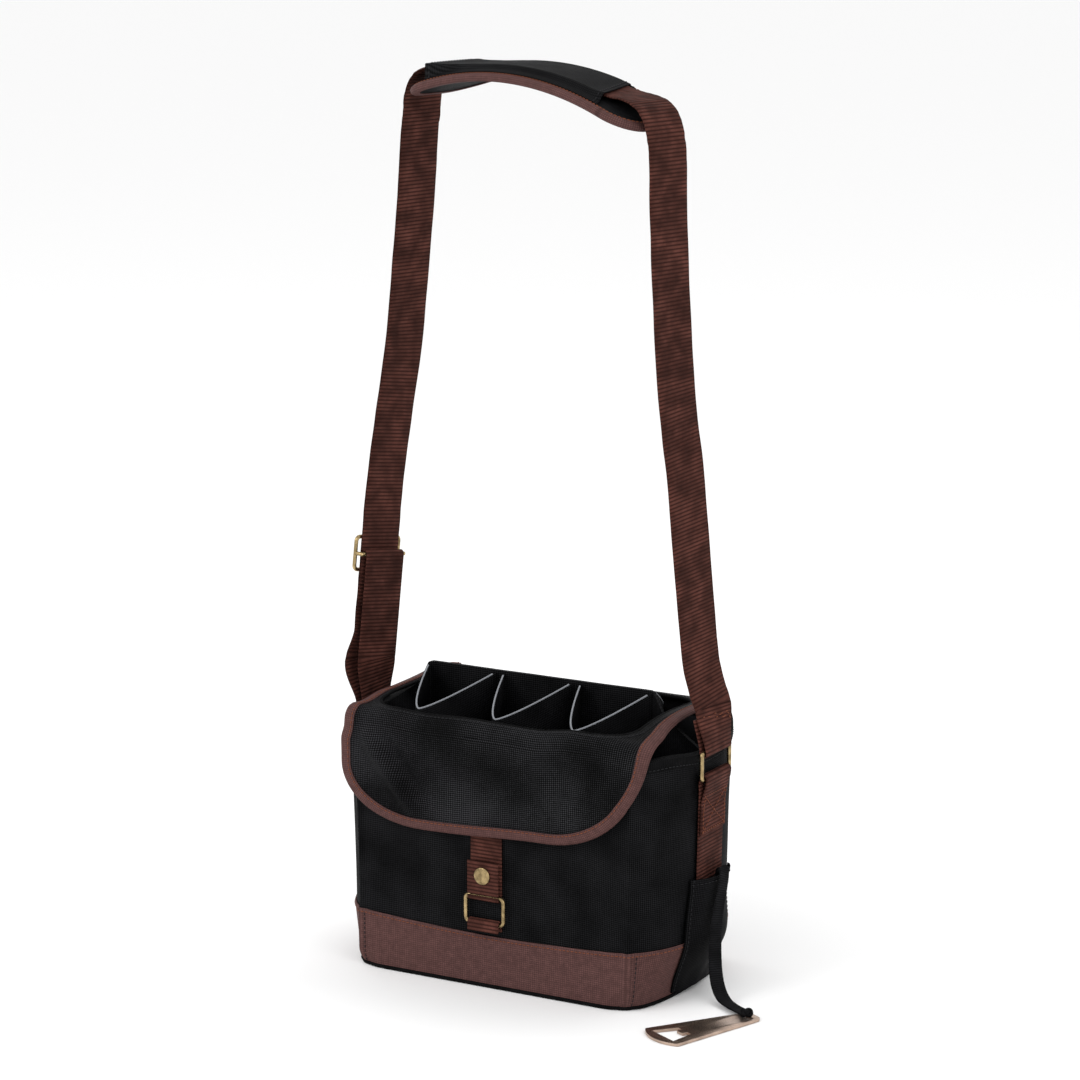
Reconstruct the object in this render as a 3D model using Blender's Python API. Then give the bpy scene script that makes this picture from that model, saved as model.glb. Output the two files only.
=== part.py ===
"""A soft six-cell cooler tote with a front flap, a shoulder strap and an opener on a tether.

Lengths are in metres. X runs to the bag's right, Y to its back and Z up, from the middle of its base.
"""

import math

import bmesh
import bpy
from mathutils import Matrix, Vector

# Clearances
GAP = 0.0003
OVERRUN = 0.006
FOLD_CLEARANCE = 0.0011

# Shell
SEAM_HALF_WIDTH = 0.108
HALF_DEPTH = 0.071
WALL_HEIGHT = 0.187
WALL_LEAN = 0.004
SIDE_BULGE = 0.025
BULGE_RISE = 0.045
SIDE_DIP = 0.012
PANEL = 0.001
FOAM = 0.004
LINING = 0.0006
BASE_BOARD = 0.0025
BASE_FOAM = 0.004
base_bulge_share = 0.5
bulge_power = 3
# Stations up the curved foot of the walls, and along a side from its middle to a corner
level_shares = (0.14, 0.28, 0.42, 0.57, 0.71, 0.85, 1)
station_shares = (0, 0.25, 0.45, 0.62, 0.76, 0.88, 0.94, 1)
level_corner_share = 0.88

# Base band and piping
BAND_HEIGHT = 0.042
BAND_DIP = 0.004
BAND = 0.0009
PIPING_RADIUS = 0.0012
MOUTH_BINDING = 0.0008

# Pocketed divider
CELL_PITCH = 0.0625
CELL_RADIUS = 0.0305
POCKET_WALL = 0.0012
POCKET_MOUTH = 0.028
DIVIDER = 0.0036
DIVIDER_RISE = 0.025
DIVIDER_TOP = WALL_HEIGHT + DIVIDER_RISE
DIVIDER_FLAT = 0.092
DIVIDER_SHOULDER = 0.1005
DIVIDER_SHOULDER_RISE = 0.008
DIVIDER_SHOULDER_TOP = WALL_HEIGHT + DIVIDER_SHOULDER_RISE
DIVIDER_END_DROP = 0.013
DIVIDER_END_TOP = WALL_HEIGHT - DIVIDER_END_DROP
FRONT_VERTEX_DROP = 0.0185
FRONT_VERTEX_TOP = DIVIDER_TOP - FRONT_VERTEX_DROP
REAR_VERTEX_DROP = 0.030
REAR_VERTEX_TOP = DIVIDER_TOP - REAR_VERTEX_DROP
EDGING_RADIUS = 0.0009
straight_share = 0.62
mouth_power = 1.43

# Lid flap
LID = 0.0018
LID_HALF_WIDTH = 0.114
DROP_HALF_WIDTH = 0.119
DROP_CORNER = 0.040
DROP_SPREAD = 0.030
LID_FRONT_RISE = 0.009
LID_FRONT_TOP = WALL_HEIGHT + LID_FRONT_RISE
LID_REAR_RISE = 0.0045
LID_REAR_TOP = WALL_HEIGHT + LID_REAR_RISE
LID_CROWN = 0.005
LID_FOLD_RADIUS = 0.005
LID_END_DROP = 0.003
LID_END = WALL_HEIGHT - LID_END_DROP
LID_BINDING = 0.0008
LID_BINDING_WIDTH = 0.009
WINDOW_HALF_WIDTH = 0.1025
WINDOW_FRONT_INSET = 0.0038
WINDOW_FRONT = WINDOW_FRONT_INSET - HALF_DEPTH
WINDOW_REAR_INSET = 0.015
WINDOW_REAR = HALF_DEPTH - WINDOW_REAR_INSET
WINDOW_CORNER = 0.024
SEAM_STRIP_DROP = 0.022
GRIP_STRIP = 0.00065
GRIP_HALF_WIDTH = 0.060
GRIP_DROP = 0.035
GRIP_LOW = WALL_HEIGHT - GRIP_DROP
GRIP_HEIGHT = 0.020

# Front closure
CLOSURE_X = -0.003
CLOSURE_WEB_WIDTH = 0.0254
WEB = 0.0014
CLOSURE_GRIP_DROP = 0.003
CLOSURE_TOP = GRIP_LOW - CLOSURE_GRIP_DROP
CLOSURE_RING_WIDTH = 0.0335
CLOSURE_RING_HEIGHT = 0.0227
CLOSURE_RING_RISE = 0.0044
CLOSURE_RING_LOW = BAND_HEIGHT + CLOSURE_RING_RISE
RING_WIRE = 0.0015
RING_CORNER = 0.004
TAB_LENGTH = 0.0243
DROP_TAB_RISE = 0.0211
DROP_BOTTOM = CLOSURE_RING_LOW + CLOSURE_RING_HEIGHT + TAB_LENGTH + DROP_TAB_RISE
SNAP_DROP = 0.0102
SNAP_RADIUS = 0.0062
SNAP_DOME = 0.0019
STUD_RADIUS = 0.0042

# Side rings and anchors
STRAP_WIDTH = 0.038
SIDE_RING_WIDTH = 0.0454
SIDE_RING_HEIGHT = 0.0215
SIDE_RING_DROP = 0.019
SIDE_RING_MIDDLE = WALL_HEIGHT - SIDE_RING_DROP
SIDE_RING_WIRE = 0.0016
SIDE_RING_CORNER = 0.0026
ANCHOR_RISE = 0.0025
ANCHOR_LOW = BAND_HEIGHT + ANCHOR_RISE
ANCHOR_LAP = 0.050
ANCHOR_LAP_LOW = SIDE_RING_MIDDLE - ANCHOR_LAP

# Shoulder strap
STRAP_END_RISE = 0.0395
STRAP_JOIN = SIDE_RING_MIDDLE + STRAP_END_RISE
PIVOT_RISE = 0.022
STRAP_PIVOT = SIDE_RING_MIDDLE + PIVOT_RISE
LAP_DROP = 0.0075
TWIST_DEGREES = 14
TWIST_RISE = 0.2425
TWIST_TOP = STRAP_JOIN + TWIST_RISE
ARC_RADIUS = 0.2781
ARC_OUT = -0.0114
ARC_RISE = 0.4363
ARC_TOP = STRAP_JOIN + ARC_RISE
RIGHT_INSET = 0.0022
LEFT_OUTSET = 0.0023
ARC_FOOT_DROP = 0.0538
ARC_FOOT = ARC_TOP - ARC_FOOT_DROP
# Height above the joins as a share of the rise to the arc's foot, then the strap's distance from the
# middle as a share of its distance at the join
right_run_shares = (
    (0, 1), (0.1, 0.95), (0.27, 0.928), (0.43, 0.924), (0.58, 0.906), (0.75, 0.884), (0.9, 0.862), (1, 0.855),
)
left_run_shares = (
    (0, 1), (0.08, 0.9974), (0.16, 0.9948), (0.24, 0.9922), (0.32, 0.9896), (0.45, 0.970), (0.60, 0.941),
    (0.75, 0.900), (0.9, 0.853), (1, 0.830),
)
straight_points = 4
# Over the pad: degrees from the arc's top, then the distance from its centre as a share of its radius
crest_shares = (
    (28.5, 0.9633), (27.1, 0.991), (25.6, 1.0101), (23.7, 1.0191), (21.7, 1.0162), (19.5, 1.0068), (17, 1),
    (12.5, 1), (8, 1), (3.5, 1), (-1, 1), (-5, 1), (-9, 1.0032), (-13, 1.0126), (-16, 1.0245), (-18.6, 1.0234),
    (-20.6, 1.0076), (-22.2, 0.9799), (-23.3, 0.9482), (-24.3, 0.9205),
)
sleeved_crest_shares = (6, 14)

# Slider
SLIDER_RISE = 0.0765
SLIDER_WIDTH = 0.046
SLIDER_LENGTH = 0.027
SLIDER_WIRE = 0.0015
SLIDER_LAP = 0.022

# Shoulder pad
PAD_HALF_WIDTH = 0.0325
PAD_DEGREES = 23.25
PAD_MIDDLE_DEGREES = 2.75
PAD_THICKNESS = 0.0077
PAD_EDGE = 0.004
PAD_CORNER = 0.024
PAD_BINDING = 0.001
PAD_BINDING_HEIGHT = 0.0055
SLEEVE = 0.0012
SLEEVE_SLANT_DEGREES = 1.5
SLEEVE_HALF_WIDTH = 0.029
PAD_SLIDE_DEGREES = 0.8

# Opener pocket
POCKET_TOP = 0.087
POCKET_LOW = 0.004
POCKET_TOP_HALF_WIDTH = 0.026
POCKET_LOW_HALF_WIDTH = 0.030
POCKET_CLOTH = 0.001
POCKET_SWELL = 0.0095

# Opener and tether
OPENER_LENGTH = 0.086
OPENER_THICKNESS = 0.002
OPENER_WIDE = 0.0195
OPENER_NARROW = 0.0085
OPENER_NARROW_ROUND = 0.005
OPENER_WIDE_BOW = 0.007
OPENER_PIVOT = (0.1885, -0.0435)
OPENER_END_LAP = 0.007
OPENER_DEGREES = -117.5
MOUTH_NEAR = 0.060
MOUTH_FAR = 0.078
MOUTH_NEAR_HALF = 0.0075
MOUTH_FAR_HALF = 0.0125
TOOTH_LENGTH = 0.004
TOOTH_HALF = 0.0035
EYE_LENGTH = 0.011
EYE_WIDTH = 0.003
TETHER_WIDTH = 0.010
TETHER = 0.0012
TETHER_ROUTE = (
    (0.1400, 0.0035, 0.074), (0.1408, 0.0035, 0.0815), (0.1430, 0.003, 0.0896), (0.1468, 0.001, 0.0905),
    (0.1492, -0.0025, 0.0855), (0.1495, -0.006, 0.077), (0.149, -0.0095, 0.066), (0.1485, -0.012, 0.054),
    (0.1483, -0.0135, 0.042), (0.1487, -0.0145, 0.030), (0.1505, -0.0165, 0.019), (0.1545, -0.020, 0.010),
    (0.1615, -0.0255, 0.0045), (0.1705, -0.0315, 0.0031), (0.1795, -0.0370, 0.0032), (0.1862, -0.0405, 0.0031),
)

# Joint places
LID_AXIS_Y = HALF_DEPTH + GAP + LID / 2
LID_AXIS_Z = LID_END - GAP
TAB_AXIS_RISE = 0.0014


# Materials

def material(name, color, roughness, metallic=0.0):
    finish = bpy.data.materials.new(name)
    finish.use_nodes = True
    shader = finish.node_tree.nodes["Principled BSDF"]
    shader.inputs["Base Color"].default_value = (*color, 1.0)
    shader.inputs["Roughness"].default_value = roughness
    shader.inputs["Metallic"].default_value = metallic
    finish.diffuse_color = (*color, 1.0)
    return finish


# Meshes and bodies

def body_empty(name, place):
    empty = bpy.data.objects.new(name, None)
    empty.location = place
    empty.hide_render = True
    bpy.context.collection.objects.link(empty)
    return empty


def piece(name, points, faces, finish, body, sharp=math.radians(40)):
    """A closed mesh given in the bag's frame, stored about its body's joint."""
    mesh = bpy.data.meshes.new(name)
    origin = body.location
    mesh.from_pydata([Vector(p) - origin for p in points], [], faces)
    work = bmesh.new()
    work.from_mesh(mesh)
    bmesh.ops.recalc_face_normals(work, faces=work.faces)
    work.to_mesh(mesh)
    work.free()
    mesh.materials.append(finish)
    mesh.shade_smooth()
    mesh.set_sharp_from_angle(angle=sharp)
    made = bpy.data.objects.new(name, mesh)
    made.parent = body
    bpy.context.collection.objects.link(made)
    return made


def loft(rings, closed=False, turned_from=None):
    """Points and faces of a skin through rings of equal length, capped unless the rings close.

    From one place on, the faces can start at their next corner, as a mirrored half needs.
    """
    count = len(rings[0])
    points = [p for ring in rings for p in ring]
    faces = []
    spans = len(rings) if closed else len(rings) - 1
    for i in range(spans):
        here, there = i * count, (i + 1) % len(rings) * count
        for j in range(count):
            k = (j + 1) % count
            face = (here + j, here + k, there + k, there + j)
            faces.append(face[1:] + face[:1] if turned_from is not None and j >= turned_from else face)
    if not closed:
        faces.append(tuple(reversed(range(count))))
        faces.append(tuple(range((len(rings) - 1) * count, len(rings) * count)))
    return points, faces


def slab(name, outer, inner, columns, rows, finish, body):
    """A sheet between two surfaces, each a function of a column and a row."""
    points, faces = [], []
    width = columns + 1
    for surface in (outer, inner):
        points += [surface(i, j) for j in range(rows + 1) for i in range(width)]
    under = width * (rows + 1)
    for j in range(rows):
        for i in range(columns):
            a, b = j * width + i, j * width + i + 1
            c, d = b + width, a + width
            faces += [(a, b, c), (a, c, d)]
            faces += [(under + a, under + c, under + b), (under + a, under + d, under + c)]
    rim = list(range(columns)) + [columns + j * width for j in range(rows)]
    rim += [rows * width + i for i in range(columns, 0, -1)] + [j * width for j in range(rows, 0, -1)]
    for a, b in zip(rim, rim[1:] + rim[:1]):
        faces.append((b, a, under + a, under + b))
    return piece(name, points, faces, finish, body)


def ribbon(name, path, width_way, width, thickness, finish, body, closed=False, level=()):
    """Flat webbing swept along a path, its width along a given direction at each point.

    The ends listed in level are cut level.
    """
    rings = []
    count = len(path)
    for i, centre in enumerate(path):
        before = path[(i - 1) % count] if closed or i else path[i]
        after = path[(i + 1) % count] if closed or i + 1 < count else path[i]
        along = (after - before).normalized()
        if i in level:
            along = Vector((0, 0, math.copysign(1, along.z)))
        wide = width_way(i)
        wide = (wide - along * wide.dot(along)).normalized()
        proud = along.cross(wide)
        side, lift = wide * (width / 2), proud * (thickness / 2)
        rings.append([centre - side - lift, centre + side - lift, centre + side + lift, centre - side + lift])
    points, faces = loft(rings, closed)
    return piece(name, points, faces, finish, body)


def tube(name, path, radius, finish, body, closed=True, detail=1):
    curve = bpy.data.curves.new(name, "CURVE")
    curve.dimensions = "3D"
    curve.bevel_depth = radius
    curve.bevel_resolution = detail
    curve.use_fill_caps = True
    spline = curve.splines.new("POLY")
    spline.points.add(len(path) - 1)
    for point, place in zip(spline.points, path):
        point.co = (*(Vector(place) - body.location), 1)
    spline.use_cyclic_u = closed
    curve.materials.append(finish)
    made = bpy.data.objects.new(name, curve)
    made.parent = body
    bpy.context.collection.objects.link(made)
    return made


def turned(name, profile, steps, place, turn, finish, body):
    """A round piece from (radius, height) pairs, run up its own axis, then turned and placed."""
    rings = []
    for radius, height in profile:
        angles = [2 * math.pi * i / steps for i in range(steps)]
        ring = [Vector((radius * math.cos(a), radius * math.sin(a), height)) for a in angles]
        rings.append([place + turn @ point for point in ring])
    points, faces = loft(rings)
    return piece(name, points, faces, finish, body)


def cut(made, points, faces):
    """Takes a closed shape out of a piece."""
    mesh = bpy.data.meshes.new(made.name + "_cutter")
    mesh.from_pydata([Vector(p) for p in points], [], faces)
    work = bmesh.new()
    work.from_mesh(mesh)
    bmesh.ops.recalc_face_normals(work, faces=work.faces)
    work.to_mesh(mesh)
    work.free()
    cutter = bpy.data.objects.new(mesh.name, mesh)
    cutter.hide_render = True
    cutter.display_type = "WIRE"
    bpy.context.collection.objects.link(cutter)
    away = made.modifiers.new(cutter.name, "BOOLEAN")
    away.operation = "DIFFERENCE"
    away.object = cutter


def arc(centre_a, centre_b, radius, start, end, steps):
    """Points of an arc in a plane, from one angle to another in degrees."""
    for i in range(steps + 1):
        angle = math.radians(start + (end - start) * i / steps)
        yield centre_a + radius * math.cos(angle), centre_b + radius * math.sin(angle)


def smooth_path(points, spans):
    """A Catmull-Rom curve through points, with a number of steps between each two."""
    points = [Vector(p) for p in points]
    ends = [points[0] * 2 - points[1]] + points + [points[-1] * 2 - points[-2]]
    path = []
    for a, b, c, d in zip(ends, ends[1:], ends[2:], ends[3:]):
        for i in range(spans):
            t = i / spans
            path.append(
                (b * 2 + (c - a) * t + (a * 2 - b * 5 + c * 4 - d) * t**2 + (b * 3 - a - c * 3 + d) * t**3) / 2
            )
    path.append(points[-1])
    return path


def eased(share):
    share = min(max(share, 0), 1)
    return share * share * (3 - 2 * share)


def rounded_rectangle(half_a, half_b, corner, steps):
    """Corner points of a rectangle with round corners, anticlockwise from its lower right."""
    outline = []
    for sign_a, sign_b, start in ((1, -1, 270), (1, 1, 0), (-1, 1, 90), (-1, -1, 180)):
        centre_a, centre_b = sign_a * (half_a - corner), sign_b * (half_b - corner)
        outline += list(arc(centre_a, centre_b, corner, start, start + 90, steps))
    return outline


# Shape of the shell

def seam_half_width(z):
    return SEAM_HALF_WIDTH + WALL_LEAN * z / WALL_HEIGHT


def side_bulge(z):
    """How far a side stands out at its middle, straight between the levels of its foot."""
    levels = [0] + [BULGE_RISE * share for share in level_shares]
    z = min(max(z, 0), levels[-1])
    k = max(i for i in range(len(levels) - 1) if z >= levels[i])
    rise = (z - levels[k]) / (levels[k + 1] - levels[k])
    low, high = (eased(level / BULGE_RISE) for level in levels[k : k + 2])
    return SIDE_BULGE * (base_bulge_share + (1 - base_bulge_share) * (low + (high - low) * rise))


def side_x(y, z, depth=0):
    """How far out a side wall's face lies, or a layer at a depth under it, straight between stations."""
    share = min(abs(y) / HALF_DEPTH, 1)
    bulge = side_bulge(z)
    k = max(i for i in range(len(station_shares) - 1) if share >= station_shares[i])
    ends = []
    for station in station_shares[k : k + 2]:
        slope = bulge * bulge_power * station ** (bulge_power - 1) / HALF_DEPTH
        ends.append(bulge * (1 - station**bulge_power) - depth * math.hypot(1, slope))
    run = (share - station_shares[k]) / (station_shares[k + 1] - station_shares[k])
    return seam_half_width(z) + ends[0] + (ends[1] - ends[0]) * run


def side_top(y):
    share = min(abs(y) / (HALF_DEPTH * level_corner_share), 1)
    return WALL_HEIGHT - SIDE_DIP * (1 - share**2)


def stations(half_span):
    """Places along a side from its front corner to its back one."""
    half = [HALF_DEPTH * share for share in station_shares if HALF_DEPTH * share < half_span - GAP]
    half.append(half_span)
    return [-y for y in reversed(half)] + half[1:]


def levels_from(low, top):
    return [low] + [BULGE_RISE * share for share in level_shares if low + GAP < BULGE_RISE * share < top - GAP]


def front_layer(name, face, depth, thickness, inset, low, top, columns, finish, body):
    """A flat sheet of the front (face -1) or back (face 1) wall, at a depth under the outer face."""

    def surface(lie):
        def at(i, j):
            share = 2 * i / columns - 1
            z = top(share) if j else low
            return Vector((share * (seam_half_width(z) - inset), face * (HALF_DEPTH - lie), z))

        return at

    slab(name, surface(depth), surface(depth + thickness), columns, 1, finish, body)


def side_layer(name, face, depth, thickness, half_span, low, top, finish, body):
    """A curved sheet of the left (face -1) or right (face 1) wall, at a depth under the outer face."""
    places = stations(half_span)
    levels = levels_from(low, min(top(y) for y in places))

    def surface(lie):
        def at(i, j):
            y = places[i]
            z = levels[j] if j < len(levels) else top(y)
            return Vector((face * side_x(y, z, lie), y, z))

        return at

    slab(name, surface(depth), surface(depth + thickness), len(places) - 1, len(levels), finish, body)


def shell_loop(z_of, depth):
    """A closed line round the shell at a depth under its face: up the right side and down the left."""
    right = []
    for y in stations(HALF_DEPTH - depth):
        z = z_of(y)
        right.append(Vector((side_x(y, z, depth), y, z)))
    return right + [Vector((-p.x, p.y, p.z)) for p in reversed(right)]


WALL_STACK = PANEL + GAP + FOAM + GAP + LINING
INNER_DEPTH = HALF_DEPTH - WALL_STACK
WALL_LOW = PANEL + GAP


def make_shell(finishes, body):
    black, foam, brown = (finishes[k] for k in ("cloth", "foam", "band"))

    def flat_top(_):
        return WALL_HEIGHT

    def side_band_top(_):
        return BAND_HEIGHT

    def sagging_band_top(share):
        return BAND_HEIGHT - BAND_DIP * (1 - share**2)

    inner_span = HALF_DEPTH - PANEL - GAP
    foam_depth = PANEL + GAP
    foam_span = inner_span - FOAM - GAP
    for face, name in ((-1, "front"), (1, "back")):
        front_layer(f"{name}_panel", face, 0, PANEL, 0, WALL_LOW, flat_top, 2, black, body)
        front_layer(f"foam_{name}", face, foam_depth, FOAM, PANEL, WALL_LOW, flat_top, 2, foam, body)
        band_top = sagging_band_top if face < 0 else side_band_top
        front_layer(f"base_band_{name}", face, -GAP - BAND, BAND, -GAP - BAND, band_low(), band_top, 8, brown,
                    body)
    for face, name in ((-1, "left"), (1, "right")):
        side_layer(f"{name}_panel", face, 0, PANEL, inner_span, WALL_LOW, side_top, black, body)
        side_layer(f"foam_{name}", face, foam_depth, FOAM, foam_span, WALL_LOW, side_top, foam, body)
        side_layer(
            f"base_band_{name}", face, -GAP - BAND, BAND, HALF_DEPTH, band_low(), side_band_top, brown, body
        )
    make_base(finishes, body)
    make_lining(finishes["lining"], body)
    make_mouth_binding(finishes["binding_black"], body)


def band_low():
    return 2 * PIPING_RADIUS + 2 * GAP


def plan_plate(name, low, thickness, depth, finish, body):
    """A level board with the shell's outline at a depth under its face."""
    levels = (low, low + thickness)
    loops = [[Vector((p.x, p.y, z)) for p in shell_loop(lambda _, z=z: z, depth)] for z in levels]
    points, faces = loft(loops)
    piece(name, points, faces, finish, body)


def make_base(finishes, body):
    plan_plate("base_panel", 0, PANEL, 0, finishes["cloth"], body)
    board_depth = PANEL + GAP + FOAM + GAP
    board_low = PANEL + GAP
    plan_plate("base_board", board_low, BASE_BOARD, board_depth, finishes["board"], body)
    foam_low = board_low + BASE_BOARD + GAP
    plan_plate("foam_base", foam_low, BASE_FOAM, board_depth, finishes["foam"], body)
    run = shell_loop(lambda _: PIPING_RADIUS, -GAP - PIPING_RADIUS)
    tube("base_piping", run, PIPING_RADIUS, finishes["binding_black"], body)


def lining_floor():
    return PANEL + GAP + BASE_BOARD + GAP + BASE_FOAM + GAP


def make_lining(finish, body):
    """An open box of thin lining inside the foam."""
    depth = PANEL + GAP + FOAM + GAP
    floor = lining_floor()

    def faces_of(low, lie):
        levels = [lambda _, z=z: z for z in levels_from(low, WALL_HEIGHT)]
        return [shell_loop(level, lie) for level in levels + [side_top]]

    rings = faces_of(floor, depth) + faces_of(floor + LINING, depth + LINING)[::-1]
    points, faces = loft(rings, turned_from=len(rings[0]) // 2)
    piece("lining", points, faces, finish, body)


def make_mouth_binding(finish, body):
    """A flat tape that caps the layers of the walls all round the mouth."""
    between = stations(INNER_DEPTH)[1:-1]
    lift = Vector((0, 0, MOUTH_BINDING))
    right = []
    for lie in (0, WALL_STACK):
        places = [lie - HALF_DEPTH] + between + [HALF_DEPTH - lie]
        heights = [side_top(y) + GAP for y in places]
        right.append([Vector((side_x(y, z - GAP, lie), y, z)) for y, z in zip(places, heights)])
    rings = [[out, within, within + lift, out + lift] for out, within in zip(*right)]
    rings += [[Vector((-p.x, p.y, p.z)) for p in ring] for ring in reversed(rings)]
    points, faces = loft(rings, closed=True)
    piece("mouth_binding", points, faces, finish, body)


# Pocketed divider

def divider_top(x):
    x = abs(x)
    end = side_x(0, DIVIDER_END_TOP, WALL_STACK + GAP)
    if x <= DIVIDER_FLAT:
        return DIVIDER_TOP
    if x <= DIVIDER_SHOULDER:
        share = (x - DIVIDER_FLAT) / (DIVIDER_SHOULDER - DIVIDER_FLAT)
        return DIVIDER_TOP + (DIVIDER_SHOULDER_TOP - DIVIDER_TOP) * share
    share = (x - DIVIDER_SHOULDER) / (end - DIVIDER_SHOULDER)
    return DIVIDER_SHOULDER_TOP + (DIVIDER_END_TOP - DIVIDER_SHOULDER_TOP) * share


def make_divider(finishes, body):
    low = lining_floor() + LINING + GAP
    levels = levels_from(low, WALL_HEIGHT)
    columns = 24

    def at(side):
        def point(i, j):
            share = 2 * i / columns - 1
            if j < len(levels):
                return Vector((share * side_x(0, levels[j], WALL_STACK + GAP), side * DIVIDER / 2, levels[j]))
            x = share * side_x(0, DIVIDER_END_TOP, WALL_STACK + GAP)
            return Vector((x, side * DIVIDER / 2, divider_top(x)))

        return point

    slab("cross_divider", at(-1), at(1), columns, len(levels), finishes["cloth"], body)
    for row, vertex_top in (("front", FRONT_VERTEX_TOP), ("rear", REAR_VERTEX_TOP)):
        face = -1 if row == "front" else 1
        for column, centre in (("left", -CELL_PITCH), ("middle", 0), ("right", CELL_PITCH)):
            make_pocket(f"pocket_wall_{row}_{column}", centre, face, low, vertex_top, finishes, body)


def pocket_line(centre, face, openness, steps):
    """The line of a pocket wall in plan: round below (openness 1), drawn in at its mouth (0)."""
    start = DIVIDER / 2 + GAP + POCKET_WALL / 2
    end = INNER_DEPTH - GAP - POCKET_WALL / 2
    radius = CELL_RADIUS
    line = []
    for i in range(steps + 1):
        share = 2 * i / steps - 1
        size = abs(share)
        if size < straight_share:
            angle = math.pi / 2 * share / straight_share
            round_x, round_y = radius * math.sin(angle), end - radius + radius * math.cos(angle)
        else:
            run = (size - straight_share) / (1 - straight_share)
            round_x = math.copysign(radius, share)
            round_y = end - radius + (start - end + radius) * run
        mouth_x = POCKET_MOUTH * share
        mouth_y = start + (end - start) * (1 - size**mouth_power)
        x = mouth_x + (round_x - mouth_x) * openness
        y = mouth_y + (round_y - mouth_y) * openness
        line.append(Vector((centre + x, face * y, 0)))
    return line


def offset_line(line, distance):
    """The same line in plan, moved sideways."""
    moved = []
    for i, point in enumerate(line):
        along = (line[min(i + 1, len(line) - 1)] - line[max(i - 1, 0)]).normalized()
        moved.append(point + Vector((-along.y, along.x, 0)) * distance)
    return moved


def make_pocket(name, centre, face, low, vertex_top, finishes, body):
    steps, rows = 16, 6
    top_at_divider = DIVIDER_TOP - 2 * EDGING_RADIUS
    mouth_from = vertex_top * straight_share

    def height(share):
        return vertex_top + (top_at_divider - vertex_top) * abs(2 * share - 1) ** mouth_power

    def level(share_up):
        z_plain = low + (vertex_top - low) * share_up
        openness = 1 - eased((z_plain - mouth_from) / (vertex_top - mouth_from))
        return pocket_line(centre, face, openness, steps)

    lines = {}
    for j in range(rows + 1):
        line = level(j / rows)
        lines[j] = (offset_line(line, POCKET_WALL / 2), offset_line(line, -POCKET_WALL / 2))

    def at(side):
        def point(i, j):
            place = lines[j][side][i].copy()
            place.z = low + (height(i / steps) - low) * j / rows
            return place

        return point

    slab(name, at(0), at(1), steps, rows, finishes["cloth"], body)
    top = [p.copy() for p in level(1)]
    for i, place in enumerate(top):
        place.z = height(i / steps) + GAP + EDGING_RADIUS
    inner = top[1:-1]
    tube(name.replace("wall", "edging"), inner, EDGING_RADIUS, finishes["edging"], body, closed=False)


# Lid flap

def lid_profile():
    """The lid's outer face from its rear end, over the top and down the front, as (y, z) points."""
    rear_y = HALF_DEPTH + GAP + LID
    front_y = -(HALF_DEPTH + 3 * GAP + 2 * GRIP_STRIP + LID)
    radius = LID_FOLD_RADIUS

    def top_z(y):
        share = (rear_y - y) / (rear_y - front_y)
        level = LID_REAR_TOP + (LID_FRONT_TOP - LID_REAR_TOP) * share
        return level + LID_CROWN * (1 - (2 * share - 1) ** 2)

    first, last = rear_y - radius, front_y + radius
    line = [(rear_y, LID_END)]
    line += list(arc(first, top_z(first) - radius, radius, 0, 90, 4))
    steps = 12
    line += [(y, top_z(y)) for y in (first + (last - first) * i / steps for i in range(1, steps))]
    line += list(arc(last, top_z(last) - radius, radius, 90, 180, 4))
    drop = 10
    start = top_z(last) - radius
    for i in range(1, drop + 1):
        line.append((front_y, start + (DROP_BOTTOM - start) * (1 - (1 - i / drop) ** 2) ** 0.5))
    return [Vector((0, y, z)) for y, z in line]


def lid_frames():
    """For each point of the lid's profile: the place, the way out of the cloth and the half width."""
    line = lid_profile()
    frames = []
    for i, place in enumerate(line):
        along = (line[min(i + 1, len(line) - 1)] - line[max(i - 1, 0)]).normalized()
        out = Vector((0, along.z, -along.y))
        frames.append((place, out, lid_half_width(place)))
    return frames


def lid_half_width(place):
    widening = eased((LID_FRONT_TOP - place.z) / DROP_SPREAD) if place.y < -HALF_DEPTH else 0
    half = LID_HALF_WIDTH + (DROP_HALF_WIDTH - LID_HALF_WIDTH) * widening
    left = place.z - DROP_BOTTOM
    if place.y < -HALF_DEPTH and left < DROP_CORNER:
        half += math.sqrt(max(DROP_CORNER**2 - (DROP_CORNER - left) ** 2, 0)) - DROP_CORNER
    return half


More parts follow.
